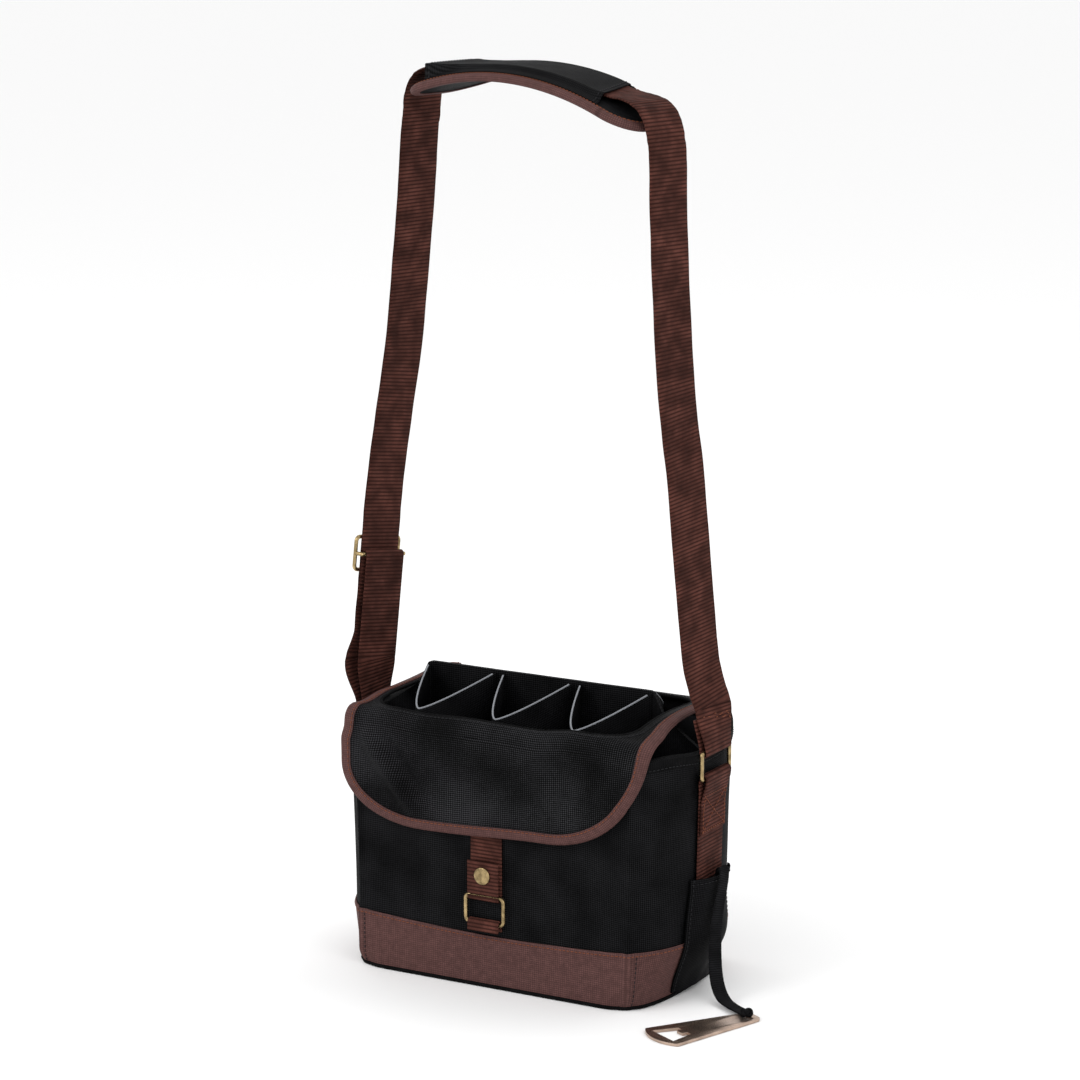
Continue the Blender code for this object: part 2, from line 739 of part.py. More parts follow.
def make_lid(finishes, body, root):
    frames = lid_frames()
    rows = len(frames) - 1

    columns = 12

    def surface(lie):
        def at(i, j):
            place, out, half = frames[j]
            return place - out * lie + Vector(((2 * i / columns - 1) * half, 0, 0))

        return at

    flap = slab("lid_flap", surface(0), surface(LID), columns, rows, finishes["cloth"], body)
    middle_y = (WINDOW_FRONT + WINDOW_REAR) / 2
    half_y = (WINDOW_REAR - WINDOW_FRONT) / 2
    outline = rounded_rectangle(WINDOW_HALF_WIDTH, half_y, WINDOW_CORNER, 6)
    rings = [
        [Vector((x, middle_y + y, z)) for x, y in outline]
        for z in (LID_REAR_TOP - OVERRUN, LID_FRONT_TOP + LID_CROWN + OVERRUN)
    ]
    cut(flap, *loft(rings))
    make_lid_binding(frames, finishes["band"], body)
    strip_y = HALF_DEPTH + GAP
    low = LID_AXIS_Z - LID / 2 - 2 * GAP - SEAM_STRIP_DROP
    half = LID_HALF_WIDTH - LID_BINDING_WIDTH - LID_BINDING
    box("lid_seam_strip", (-half, strip_y, low), (half, strip_y + LID, low + SEAM_STRIP_DROP),
        finishes["cloth"], root)
    loop_y = -(HALF_DEPTH + GAP)
    hook_y = loop_y - GRIP_STRIP - GAP
    for name, y, home in (("grip_strip_panel", loop_y, root), ("grip_strip_lid", hook_y, body)):
        box(name, (-GRIP_HALF_WIDTH, y - GRIP_STRIP, GRIP_LOW), (GRIP_HALF_WIDTH, y, GRIP_LOW + GRIP_HEIGHT),
            finishes["grip"], home)


def box(name, low, high, finish, body):
    rings = [
        [Vector((x, y, z))
         for x, y in ((low[0], low[1]), (high[0], low[1]), (high[0], high[1]), (low[0], high[1]))]
        for z in (low[2], high[2])
    ]
    points, faces = loft(rings)
    return piece(name, points, faces, finish, body)


def make_lid_binding(frames, finish, body):
    """A brown tape round the lid's edge: down the left, along the bottom and up the right."""
    edge = [(place, out, -half) for place, out, half in frames]
    edge += [(place, out, half) for place, out, half in reversed(frames)]
    flat = [Vector((x, arc_length(frames, i), 0)) for i, (_, _, x) in enumerate(edge[: len(frames)])]
    flat += [Vector((-p.x, p.y, 0)) for p in reversed(flat)]
    inward = offset_line(flat, -LID_BINDING_WIDTH)
    rings = []
    for (place, out, x), within in zip(edge, inward):
        here = place + Vector((x, 0, 0)) + out * GAP
        inner_place, inner_out = at_length(frames, within.y)
        there = inner_place + Vector((within.x, 0, 0)) + inner_out * GAP
        rings.append([here, there, there + inner_out * LID_BINDING, here + out * LID_BINDING])
    points, faces = loft(rings)
    piece("lid_binding", points, faces, finish, body)


def arc_length(frames, index):
    return sum((frames[i + 1][0] - frames[i][0]).length for i in range(index))


def at_length(frames, length):
    """The place and the way out of the cloth at a length along the lid's profile."""
    run = 0
    for (a, out_a, _), (b, out_b, _) in zip(frames, frames[1:]):
        step = (b - a).length
        if run + step >= length or b is frames[-1][0]:
            share = min(max((length - run) / step, 0), 1)
            return a.lerp(b, share), out_a.lerp(out_b, share).normalized()
        run += step
    return frames[-1][0], frames[-1][1]


# Front closure

def closure_bar_y():
    return -(HALF_DEPTH + GAP + WEB + GAP + RING_WIRE)


def closure_bars():
    low = CLOSURE_RING_LOW + RING_WIRE
    return low, low + CLOSURE_RING_HEIGHT - 2 * RING_WIRE


def tab_middle_y():
    return closure_bar_y() - RING_WIRE - GAP - WEB / 2


def tab_axis():
    """The fold at the foot of the tab, in front of its face."""
    _, high_bar = closure_bars()
    return Vector((CLOSURE_X, tab_middle_y() - WEB / 2 - GAP, high_bar + TAB_AXIS_RISE))


def wrap_path(bar_y, bar_z, wire, leg_back, leg_front, under, thickness=WEB):
    """Webbing round a bar along X, in the YZ plane: from a back leg's end to a front leg's end."""
    reach = wire + GAP + thickness / 2
    start, end = (0, -180) if under else (0, 180)
    line = [(bar_y + reach, leg_back)]
    line += list(arc(bar_y, bar_z, reach, start, end, 8))
    line += [(bar_y - reach, leg_front)]
    return line


def ring_path(half_a, half_b, corner, wire):
    return rounded_rectangle(half_a - wire, half_b - wire, corner - wire / 2, 3)


def make_closure(finishes, body, tab_body):
    low_bar, high_bar = closure_bars()
    bar_y = closure_bar_y()
    middle = (low_bar + high_bar) / 2
    outline = ring_path(CLOSURE_RING_WIDTH / 2, CLOSURE_RING_HEIGHT / 2, RING_CORNER, RING_WIRE)
    tube("closure_ring", [Vector((CLOSURE_X + a, bar_y, middle + b)) for a, b in outline], RING_WIRE,
         finishes["brass"], body, detail=2)
    axis = tab_axis()

    def across(_):
        return Vector((1, 0, 0))

    def webbing(name, line, home):
        path = [Vector((CLOSURE_X, y, z)) for y, z in line]
        ribbon(name, path, across, CLOSURE_WEB_WIDTH, WEB, finishes["webbing"], home)

    strap = wrap_path(bar_y, high_bar, RING_WIRE, CLOSURE_TOP, axis.z - FOLD_CLEARANCE, under=True)
    webbing("closure_strap", strap, body)
    leg = BAND_HEIGHT + GAP
    webbing("ring_keeper", wrap_path(bar_y, low_bar, RING_WIRE, leg, leg, under=False), body)
    tab_y, tab_low = tab_middle_y(), axis.z + GAP
    tab_top = tab_low + TAB_LENGTH
    webbing("snap_tab", [(tab_y, tab_low), (tab_y, tab_top)], tab_body)
    snap_height = tab_top - SNAP_DROP
    forward = Matrix.Rotation(math.radians(90), 3, "X")
    face = tab_y - WEB / 2 - GAP
    dome = [(SNAP_RADIUS, 0), (SNAP_RADIUS, SNAP_DOME / 3)]
    dome += [(SNAP_RADIUS * math.cos(a), SNAP_DOME / 3 + SNAP_DOME * 2 / 3 * math.sin(a))
             for a in (math.radians(20 * i) for i in range(1, 5))]
    turned("snap_cap", dome, 20, Vector((CLOSURE_X, face, snap_height)), forward, finishes["brass"], tab_body)
    seat = -(HALF_DEPTH + GAP + WEB + GAP)
    depth = seat - (tab_y + WEB / 2 + GAP)
    stud = [(STUD_RADIUS, 0), (STUD_RADIUS, depth / 2), (STUD_RADIUS / 2, depth / 2), (STUD_RADIUS / 2, depth)]
    turned("snap_stud", stud, 16, Vector((CLOSURE_X, seat, snap_height)), forward, finishes["brass"], body)


# Side rings and their anchors

def side_ring_x():
    return side_x(0, SIDE_RING_MIDDLE) + 2 * GAP + WEB + SIDE_RING_WIRE


def side_bars():
    reach = SIDE_RING_HEIGHT / 2 - SIDE_RING_WIRE
    return SIDE_RING_MIDDLE - reach, SIDE_RING_MIDDLE + reach


def make_side_rings(finishes, body):
    low_bar, _ = side_bars()
    ring_x = side_ring_x()
    outline = ring_path(SIDE_RING_WIDTH / 2, SIDE_RING_HEIGHT / 2, SIDE_RING_CORNER, SIDE_RING_WIRE)
    reach = SIDE_RING_WIRE + GAP + WEB / 2
    for face, name in ((-1, "left"), (1, "right")):
        tube(f"side_ring_{name}", [Vector((face * ring_x, a, SIDE_RING_MIDDLE + b)) for a, b in outline],
             SIDE_RING_WIRE, finishes["brass"], body, detail=2)
        steps = 8
        line = []
        for i in range(steps + 1):
            z = ANCHOR_LOW + (low_bar - ANCHOR_LOW) * i / steps
            line.append((side_x(0, z) + GAP + WEB / 2, z))
        line[-1] = (ring_x - reach, low_bar)
        line += list(arc(ring_x, low_bar, reach, 180, 0, 6))[1:]
        lap_x = side_x(0, ANCHOR_LAP_LOW) + 2 * GAP + 3 * WEB / 2
        knee = (low_bar + ANCHOR_LAP_LOW) / 2
        line += [(side_x(0, knee) + 2 * GAP + 3 * WEB / 2 + GAP, knee), (lap_x, ANCHOR_LAP_LOW)]
        ribbon(f"side_anchor_{name}", [Vector((face * x, 0, z)) for x, z in line], lambda _: Vector((0, 1, 0)),
               STRAP_WIDTH, WEB, finishes["webbing"], body)


# Shoulder strap

ARC_CENTRE = ARC_TOP - ARC_RADIUS


def twist_at(z):
    return math.radians(TWIST_DEGREES) * min(max((z - STRAP_JOIN) / (TWIST_TOP - STRAP_JOIN), 0), 1)


def arch_place(out, z):
    """A point of the arch by its signed distance from the middle and its height."""
    turn = twist_at(z)
    return Vector((out * math.cos(turn), -out * math.sin(turn), z))


def web_way():
    turn = math.radians(TWIST_DEGREES)
    return Vector((math.sin(turn), math.cos(turn), 0))


def arc_place(degrees, radius=ARC_RADIUS):
    angle = math.radians(degrees)
    return arch_place(ARC_OUT + radius * math.sin(angle), ARC_CENTRE + radius * math.cos(angle))


def run_points(face, start, shares, straight=0):
    """Points up one side of the strap, the first of them on one straight line."""
    rise = ARC_FOOT - STRAP_JOIN
    points = [arch_place(face * start * share, STRAP_JOIN + rise * up) for up, share in shares]
    for i in range(1, straight):
        points[i] = points[0].lerp(points[straight], shares[i][0] / shares[straight][0])
    return points


def right_run():
    return run_points(1, side_ring_x() - RIGHT_INSET, right_run_shares)


def left_run():
    return run_points(-1, side_ring_x() + LEFT_OUTSET, left_run_shares, straight_points)


def left_ways():
    """Up the straight stretch of the left run, across the webbing and in from it."""
    points = left_run()
    up = (points[straight_points] - points[0]).normalized()
    wide = web_way()
    wide = (wide - up * wide.dot(up)).normalized()
    inward = up.cross(wide)
    return up, wide, inward if inward.x > 0 else -inward


def strap_path():
    """The strap from its right join, over the pad, to its left join."""
    crest = [arc_place(degrees, ARC_RADIUS * share) for degrees, share in crest_shares]
    return smooth_path(right_run() + crest + left_run()[::-1], 2)


def make_strap(finishes, body):
    path = strap_path()
    ribbon("strap_run", path, lambda _: web_way(), STRAP_WIDTH, WEB, finishes["webbing"], body,
           level=(0, len(path) - 1))


def strap_end(name, face, joins, lap, finish, body):
    """The doubled end of the strap: from its join down round a ring's upper bar and back up to its lap."""
    _, high_bar = side_bars()
    ring_x = side_ring_x()
    reach = SIDE_RING_WIRE + GAP + WEB / 2
    centre = Vector((face * ring_x, 0, high_bar))
    path = [joins, joins.lerp(centre + Vector((face * reach, 0, 0)), 1 / 2)]
    path += [Vector((centre.x + face * a, 0, b)) for a, b in arc(0, high_bar, reach, 0, -180, 6)]
    path += [lap.lerp(path[-1], 1 / 2), lap]

    def way(i):
        turn = math.radians(TWIST_DEGREES) * eased((path[i].z - high_bar) / (joins.z - high_bar))
        return Vector((math.sin(turn), math.cos(turn), 0))

    ribbon(name, path, way, STRAP_WIDTH, WEB, finish, body, level=(0, len(path) - 1))


def drop(length):
    return Vector((0, 0, -length))


def layer_step():
    """From the middle of the strap to the middle of the layer that returns past the slider's bar."""
    return WEB + GAP + WEB + GAP + 2 * SLIDER_WIRE + GAP


def slider_middle():
    points = left_run()
    low, high = points[0], points[straight_points]
    return low.lerp(high, SLIDER_RISE / (high.z - low.z))


def return_start():
    """Where the inner layer on the left starts, level with the strap's join."""
    _, _, inward = left_ways()
    return left_run()[0] + inward * layer_step() - drop(inward.z * layer_step())


def make_strap_ends(finishes, body):
    web = finishes["webbing"]
    right = right_run()[0]
    lap = right - Vector((WEB + 2 * GAP, 0, LAP_DROP))
    strap_end("strap_end_right", 1, right + drop(GAP), lap, web, body)
    strap_end("strap_end_left", -1, left_run()[0] + drop(GAP), return_start() + drop(GAP), web, body)
    make_return_layer(web, body)


def make_return_layer(finish, body):
    """The inner layer on the left: from the ring's loop up, over the slider's bar and down to its lap."""
    up, wide, inward = left_ways()
    reach = SLIDER_WIRE + GAP + WEB / 2
    bar = slider_middle() + inward * (layer_step() - reach)
    start, end = return_start(), bar + inward * reach
    path = [start.lerp(end, i / 8) for i in range(8)]
    for angle in range(0, 181, 30):
        turn = math.radians(angle)
        path.append(bar + (inward * math.cos(turn) + up * math.sin(turn)) * reach)
    path.append(bar - inward * reach - up * SLIDER_LAP)
    ribbon("strap_return", path, lambda _: wide, STRAP_WIDTH, WEB, finish, body, level=(0,))


def make_slider(finishes, body):
    """A wire frame whose end bars lie outside the strap and whose middle bar lies inside it."""
    up, wide, inward = left_ways()
    middle = slider_middle()
    outside = middle - inward * (WEB / 2 + GAP + SLIDER_WIRE)
    inside = middle + inward * (layer_step() - SLIDER_WIRE - GAP - WEB / 2)
    half_w, half_l = SLIDER_WIDTH / 2 - SLIDER_WIRE, SLIDER_LENGTH / 2 - SLIDER_WIRE
    outline = rounded_rectangle(half_w, half_l, RING_CORNER, 3)
    brass = finishes["brass"]
    frame = tube("slider_frame", [outside + wide * a + up * b for a, b in outline], SLIDER_WIRE, brass, body)
    legs = [(outside, -1), (inside, -1), (inside, 1), (outside, 1)]
    line = [plane + wide * half_w * side for plane, side in legs]
    bar = tube("slider_middle_bar", line, SLIDER_WIRE, brass, body, closed=False)
    solid, second = solid_copy("slider", frame), solid_copy("slider_bar_cutter", bar)
    second.hide_render = True
    second.display_type = "WIRE"
    union = solid.modifiers.new("middle bar", "BOOLEAN")
    union.operation = "UNION"
    union.object = second
    for spare in (frame, bar):
        bpy.data.objects.remove(spare)


def solid_copy(name, made):
    """A mesh object with the shape of a curve object, its caps and sides sewn together."""
    bpy.context.view_layer.update()
    shape = made.evaluated_get(bpy.context.evaluated_depsgraph_get())
    mesh = bpy.data.meshes.new_from_object(shape)
    work = bmesh.new()
    work.from_mesh(mesh)
    bmesh.ops.remove_doubles(work, verts=work.verts, dist=SLIDER_WIRE / 100)
    bmesh.ops.recalc_face_normals(work, faces=work.faces)
    work.to_mesh(mesh)
    work.free()
    copy = bpy.data.objects.new(name, mesh)
    copy.parent = made.parent
    bpy.context.collection.objects.link(copy)
    return copy


# Shoulder pad

def pad_under():
    """Radius of the pad's underside; the strap lies on its crown."""
    return ARC_RADIUS - WEB / 2 - GAP - PAD_THICKNESS


def pad_half_length():
    return math.radians(PAD_DEGREES) * (pad_under() + PAD_EDGE / 2)


def pad_half_width(share):
    """The pad's half width at a share of its length from its middle, with round corners."""
    left = pad_half_length() * (1 - abs(share))
    if left >= PAD_CORNER:
        return PAD_HALF_WIDTH
    return PAD_HALF_WIDTH - PAD_CORNER + math.sqrt(PAD_CORNER**2 - (PAD_CORNER - left) ** 2)


def pad_top(along, across):
    """Radius of the pad's crowned top at shares of its half length and half width."""
    crown = (1 - across**4) * (1 - along**6)
    return pad_under() + PAD_EDGE + (PAD_THICKNESS - PAD_EDGE) * crown


def make_pad(finishes, body):
    columns, rows = 10, 22

    def at(top):
        def point(i, j):
            along, across = math.sin(math.pi / 2 * (2 * j / rows - 1)), 2 * i / columns - 1
            radius = pad_top(along, across) if top else pad_under()
            place = arc_place(PAD_MIDDLE_DEGREES + PAD_DEGREES * along, radius)
            return place + web_way() * (across * pad_half_width(along))

        return point

    slab("shoulder_pad", at(True), at(False), columns, rows, finishes["cloth"], body)
    make_pad_binding(finishes["band"], body)
    make_pad_sleeve(finishes["cloth"], body)


def between(start, end, steps):
    """Places along a straight edge, without its ends."""
    return [(start[0] + (end[0] - start[0]) * i / steps, start[1] + (end[1] - start[1]) * i / steps)
            for i in range(1, steps)]


def make_pad_binding(finish, body):
    """A tape on edge round the pad."""
    middle = pad_under() + PAD_EDGE / 2
    spare = GAP + PAD_BINDING / 2
    outline = []
    for a, b in rounded_rectangle(pad_half_length() + spare, PAD_HALF_WIDTH + spare, PAD_CORNER + spare, 6):
        if outline and abs(a - outline[-1][0]) > PAD_CORNER:
            outline += between(outline[-1], (a, b), 12)
        outline.append((a, b))
    outline += between(outline[-1], outline[0], 12)
    path, ways = [], []
    for a, b in outline:
        degrees = PAD_MIDDLE_DEGREES + math.degrees(a / middle)
        path.append(arc_place(degrees, middle) + web_way() * b)
        ways.append((arc_place(degrees, middle + PAD_THICKNESS) - arc_place(degrees, middle)).normalized())
    ribbon("pad_binding", path, lambda i: ways[i], PAD_BINDING_HEIGHT, PAD_BINDING, finish, body, closed=True)


def crest_stations():
    """Degrees and radius of each place of the strap over the pad, about the arc's centre."""
    start = 2 * len(right_run())
    stations = []
    for place in strap_path()[start : start + 2 * len(crest_shares) - 1]:
        turn = twist_at(place.z)
        out, rise = place.x * math.cos(turn) - place.y * math.sin(turn) - ARC_OUT, place.z - ARC_CENTRE
        stations.append((math.degrees(math.atan2(out, rise)), math.hypot(out, rise)))
    return stations


def crest_radius(stations, degrees):
    """The strap's radius at an angle, between its stations."""
    for (high, near), (low, far) in zip(stations, stations[1:]):
        if low <= degrees <= high:
            return near + (far - near) * (high - degrees) / (high - low)
    return stations[0][1]


def sleeve_foot(degrees, across):
    """Radius of the sleeve's underside where it lies on the pad."""
    along = (degrees - PAD_MIDDLE_DEGREES) / PAD_DEGREES
    return pad_top(along, min(abs(across) / pad_half_width(along), 1)) + GAP


def make_pad_sleeve(finish, body):
    """The cloth over the strap, laid down on the pad at both sides, clear of the strap as the pad slides."""
    stations = crest_stations()
    first, last = [2 * index for index in sleeved_crest_shares]
    inner_half = STRAP_WIDTH / 2 + GAP
    foot_half = inner_half + 2 * SLEEVE
    middle_half = (SLEEVE_HALF_WIDTH + foot_half) / 2
    rings = []
    for index in range(first, last + 1):
        degrees = stations[index][0]
        near = [crest_radius(stations, degrees + turn * PAD_SLIDE_DEGREES) for turn in (-1, 0, 1)]
        over = max(near) + WEB / 2 + GAP
        slant = SLEEVE_SLANT_DEGREES if index in (first, last) else 0
        lower, upper = [], []
        for side in (-1, 1):
            angle = degrees - side * slant
            halves = (SLEEVE_HALF_WIDTH, middle_half, foot_half)
            feet = [(side * half, angle, sleeve_foot(angle, half)) for half in halves]
            tops = [(across, angle, radius + SLEEVE) for across, _, radius in feet]
            tops[-1] = (side * (foot_half + SLEEVE), angle, feet[-1][2] + SLEEVE)
            feet.append((side * inner_half, degrees, over))
            tops.append((side * (inner_half + SLEEVE), degrees, over + SLEEVE))
            lower += feet[::-side]
            upper += tops[::-side]
        section = lower + upper[::-1]
        rings.append([arc_place(angle, radius) + web_way() * across for across, angle, radius in section])
    points, faces = loft(rings)
    piece("pad_sleeve", points, faces, finish, body)


# Opener, its pocket and tether

def make_opener_pocket(finishes, body):
    """A sleeve of cloth sewn to the right side, standing open at its top."""
    levels = levels_from(POCKET_LOW, POCKET_TOP)
    levels += [levels[-1] + (POCKET_TOP - levels[-1]) * i / 3 for i in range(1, 4)]
    columns, rows = 12, len(levels) - 1

    def surface(lie):
        def at(i, j):
            share, z = 2 * i / columns - 1, levels[j]
            v = (z - POCKET_LOW) / (POCKET_TOP - POCKET_LOW)
            half = POCKET_LOW_HALF_WIDTH + (POCKET_TOP_HALF_WIDTH - POCKET_LOW_HALF_WIDTH) * v
            y = share * half
            over_band = (GAP + BAND) * (1 - eased((z - BAND_HEIGHT) / (POCKET_TOP - BAND_HEIGHT)))
            swell = POCKET_SWELL * (1 - share**2) * (0.45 + 0.55 * v)
            return Vector((side_x(y, z) + GAP + over_band + swell + lie, y, z))

        return at

    slab("opener_pocket", surface(POCKET_CLOTH), surface(0), columns, rows, finishes["cloth"], body)


def make_tether(finishes, body):
    path = smooth_path(TETHER_ROUTE, 2)
    start, end = Vector((0, 1, 0)), Vector((0.87, 0.5, 0))
    last = len(path) - 1
    ribbon("tether", path, lambda i: start.lerp(end, eased(i / last)).normalized(), TETHER_WIDTH, TETHER,
           finishes["tape"], body)


def opener_place(along, across, z):
    """A point of the opener by its distance past the pivot and from the middle line."""
    turn = math.radians(OPENER_DEGREES)
    way = Vector((math.cos(turn), math.sin(turn), 0))
    side = Vector((-way.y, way.x, 0))
    return Vector((*OPENER_PIVOT, z)) + way * along + side * across


def opener_plate(outline, low, high):
    return loft([[opener_place(a, b, z) for a, b in outline] for z in (low, high)])


def make_opener(finishes, body):
    start, end = -OPENER_END_LAP, OPENER_LENGTH - OPENER_END_LAP
    bow_radius = (OPENER_WIDE**2 + OPENER_WIDE_BOW**2) / (2 * OPENER_WIDE_BOW)
    sweep = math.degrees(math.asin(OPENER_WIDE / bow_radius))
    outline = list(arc(end - bow_radius, 0, bow_radius, -sweep, sweep, 10))
    small = OPENER_NARROW_ROUND
    outline += list(arc(start + small, OPENER_NARROW - small, small, 100, 180, 4))
    outline += list(arc(start + small, small - OPENER_NARROW, small, 180, 260, 4))
    points, faces = opener_plate(outline, 0, OPENER_THICKNESS)
    plate = piece("opener", points, faces, finishes["brass"], body)
    mouth = [
        (MOUTH_NEAR - OPENER_END_LAP, -MOUTH_NEAR_HALF), (MOUTH_FAR - OPENER_END_LAP, -MOUTH_FAR_HALF),
        (MOUTH_FAR - OPENER_END_LAP, MOUTH_FAR_HALF), (MOUTH_NEAR - OPENER_END_LAP, MOUTH_NEAR_HALF),
        (MOUTH_NEAR - OPENER_END_LAP, TOOTH_HALF), (MOUTH_NEAR - OPENER_END_LAP + TOOTH_LENGTH, TOOTH_HALF),
        (MOUTH_NEAR - OPENER_END_LAP + TOOTH_LENGTH, -TOOTH_HALF), (MOUTH_NEAR - OPENER_END_LAP, -TOOTH_HALF),
    ]
    cut(plate, *opener_plate(mouth, -OVERRUN, OVERRUN))
    eye = rounded_rectangle(EYE_WIDTH / 2, EYE_LENGTH / 2, EYE_WIDTH / 3, 3)
    cut(plate, *opener_plate(eye, -OVERRUN, OVERRUN))


def main():
    for old in list(bpy.data.objects):
        bpy.data.objects.remove(old, do_unlink=True)
    finishes = {
        "cloth": material("black woven cloth", (0.012, 0.012, 0.014), 0.75),
        "band": material("mauve brown coated cloth", (0.115, 0.058, 0.053), 0.6),
        "webbing": material("brown webbing", (0.070, 0.028, 0.022), 0.7),
        "brass": material("antique brass", (0.46, 0.34, 0.17), 0.32, 1.0),
        "foam": material("white foam", (0.72, 0.72, 0.70), 0.9),
        "lining": material("grey lining", (0.30, 0.31, 0.33), 0.35),
        "board": material("black board", (0.02, 0.02, 0.02), 0.6),
        "edging": material("pale grey edging", (0.45, 0.46, 0.48), 0.5),
        "binding_black": material("black binding tape", (0.010, 0.010, 0.011), 0.7),
        "grip": material("black grip tape", (0.015, 0.015, 0.015), 0.95),
        "tape": material("black grosgrain tape", (0.012, 0.012, 0.012), 0.8),
    }
    root = body_empty("root", (0, 0, 0))
    lid = body_empty("lid", (0, LID_AXIS_Y, LID_AXIS_Z))
    tab = body_empty("tab", tab_axis())
    strap = body_empty("strap", (0, 0, STRAP_PIVOT))
    slider = body_empty("slider_body", slider_middle())
    pad = body_empty("pad", arch_place(ARC_OUT, ARC_CENTRE))
    opener = body_empty("opener_body", (*OPENER_PIVOT, 0))
    make_shell(finishes, root)
    make_divider(finishes, root)
    make_lid(finishes, lid, root)
    make_closure(finishes, root, tab)
    make_side_rings(finishes, root)
    make_strap(finishes, strap)
    make_strap_ends(finishes, strap)
    make_slider(finishes, slider)
    make_pad(finishes, pad)
    make_opener_pocket(finishes, root)
    make_tether(finishes, root)
    make_opener(finishes, opener)


main()
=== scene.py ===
"""Cloth, webbing, brass and stitches of a six-cell cooler tote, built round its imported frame."""

import math

import bmesh
import bpy
import numpy as np
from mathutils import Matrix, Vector, noise


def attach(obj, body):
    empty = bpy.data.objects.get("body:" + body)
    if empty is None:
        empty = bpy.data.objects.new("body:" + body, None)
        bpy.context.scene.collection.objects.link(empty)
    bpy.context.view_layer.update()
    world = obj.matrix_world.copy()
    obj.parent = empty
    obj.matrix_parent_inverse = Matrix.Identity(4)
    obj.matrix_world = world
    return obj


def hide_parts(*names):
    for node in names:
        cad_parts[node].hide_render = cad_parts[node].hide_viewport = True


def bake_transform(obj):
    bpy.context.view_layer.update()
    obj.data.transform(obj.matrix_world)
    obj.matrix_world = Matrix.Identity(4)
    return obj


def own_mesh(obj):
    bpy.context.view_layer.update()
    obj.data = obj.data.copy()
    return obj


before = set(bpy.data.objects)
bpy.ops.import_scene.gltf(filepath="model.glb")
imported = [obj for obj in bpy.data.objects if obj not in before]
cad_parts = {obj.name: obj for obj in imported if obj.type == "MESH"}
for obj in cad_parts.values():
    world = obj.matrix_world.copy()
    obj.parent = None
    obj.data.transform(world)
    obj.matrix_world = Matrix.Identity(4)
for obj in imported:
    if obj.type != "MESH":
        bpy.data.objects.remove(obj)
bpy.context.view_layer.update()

bl_info = {
    "name": "Cooler tote",
    "version": (1, 0, 0),
    "blender": (4, 5, 0),
    "location": "View3D > Sidebar > Tote",
    "description": "Builds the cloth, webbing and metal of a six-cell cooler tote",
    "category": "Object",
}

# Sizes that the pieces share with the frame, in metres
SEAM_HALF_WIDTH, HALF_DEPTH, WALL_HEIGHT, WALL_LEAN = 0.108, 0.071, 0.187, 0.004
SIDE_BULGE, BULGE_RISE, SIDE_DIP = 0.025, 0.045, 0.012
CLOTH, FOAM, LINING = (0, -0.001), (-0.0013, -0.0053), (-0.0056, -0.0062)
BAND_HEIGHT, BAND_DIP, BAND_FOOT, BAND_OUT = 0.042, 0.004, 0.0026, 0.0013
CELL_PITCH, CELL_RADIUS, CELL_FLOOR, CELL_DEPTH = 0.0625, 0.0305, 0.0095, 0.0639
LID_FRONT_Y, LID_REAR_Y, LID_HEM_Z, LID_THICKNESS = -0.075, 0.0731, 0.1145, 0.0018
WINDOW_MIDDLE, WINDOW_HALF_WIDTH, WINDOW_HALF_DEPTH, WINDOW_CORNER = -0.0056, 0.1025, 0.0616, 0.024
STRAP_JOIN, TWIST, TWIST_TOP = 0.2075, math.radians(14), 0.450
ARC_RADIUS, ARC_OUT, ARC_CENTRE = 0.2781, -0.0114, 0.3657
RIGHT_START, LEFT_START, ARC_FOOT = 0.138, 0.1425, 0.590
PAD_DEGREES, PAD_MIDDLE, PAD_HALF_WIDTH, PAD_CORNER = 23.25, 2.75, 0.0325, 0.024
PAD_UNDER, PAD_THICKNESS, PAD_EDGE, PAD_TRAVEL = 0.2694, 0.0077, 0.004, 0.7
SLIDER_HEIGHT, SLIDER_WIDTH, SLIDER_LENGTH, SLIDER_WIRE = 0.284, 0.046, 0.027, 0.0015
SIDE_RING_X, SIDE_RING_LOW, SIDE_RING_HIGH, SIDE_RING_WIRE = 0.14019, 0.15885, 0.17715, 0.0016
CLOSURE_X, CLOSURE_Y, CLOSURE_LOW, CLOSURE_HIGH, RING_WIRE = -0.003, -0.0745, 0.0479, 0.0676, 0.0015
CLOSURE_RING, SIDE_RING = (0.01525, 0.00985, 0.0033), (0.0211, 0.00915, 0.0018)
TAB_Y, TAB_LOW, TAB_RISE = -0.077, 0.0693, 0.0243
WEB_GAP, TAPE_WIDTH, TAPE_THICKNESS = 0.0003, 0.0100, 0.0012
OPENER_PIVOT, OPENER_TURN = Vector((0.1885, -0.0435, 0)), math.radians(-117.5)

# Share of each strap leg's height, and of its foot's distance from the middle
RIGHT_RUN = ((0, 1), (0.04, 0.967), (0.1, 0.942), (0.27, 0.930), (0.43, 0.924), (0.58, 0.906),
             (0.75, 0.884), (0.9, 0.862), (1, 0.855))
LEFT_RUN = ((0, 1), (0.08, 0.9974), (0.16, 0.9948), (0.24, 0.9922), (0.32, 0.9896), (0.45, 0.970),
            (0.60, 0.941), (0.75, 0.900), (0.9, 0.853), (1, 0.830))

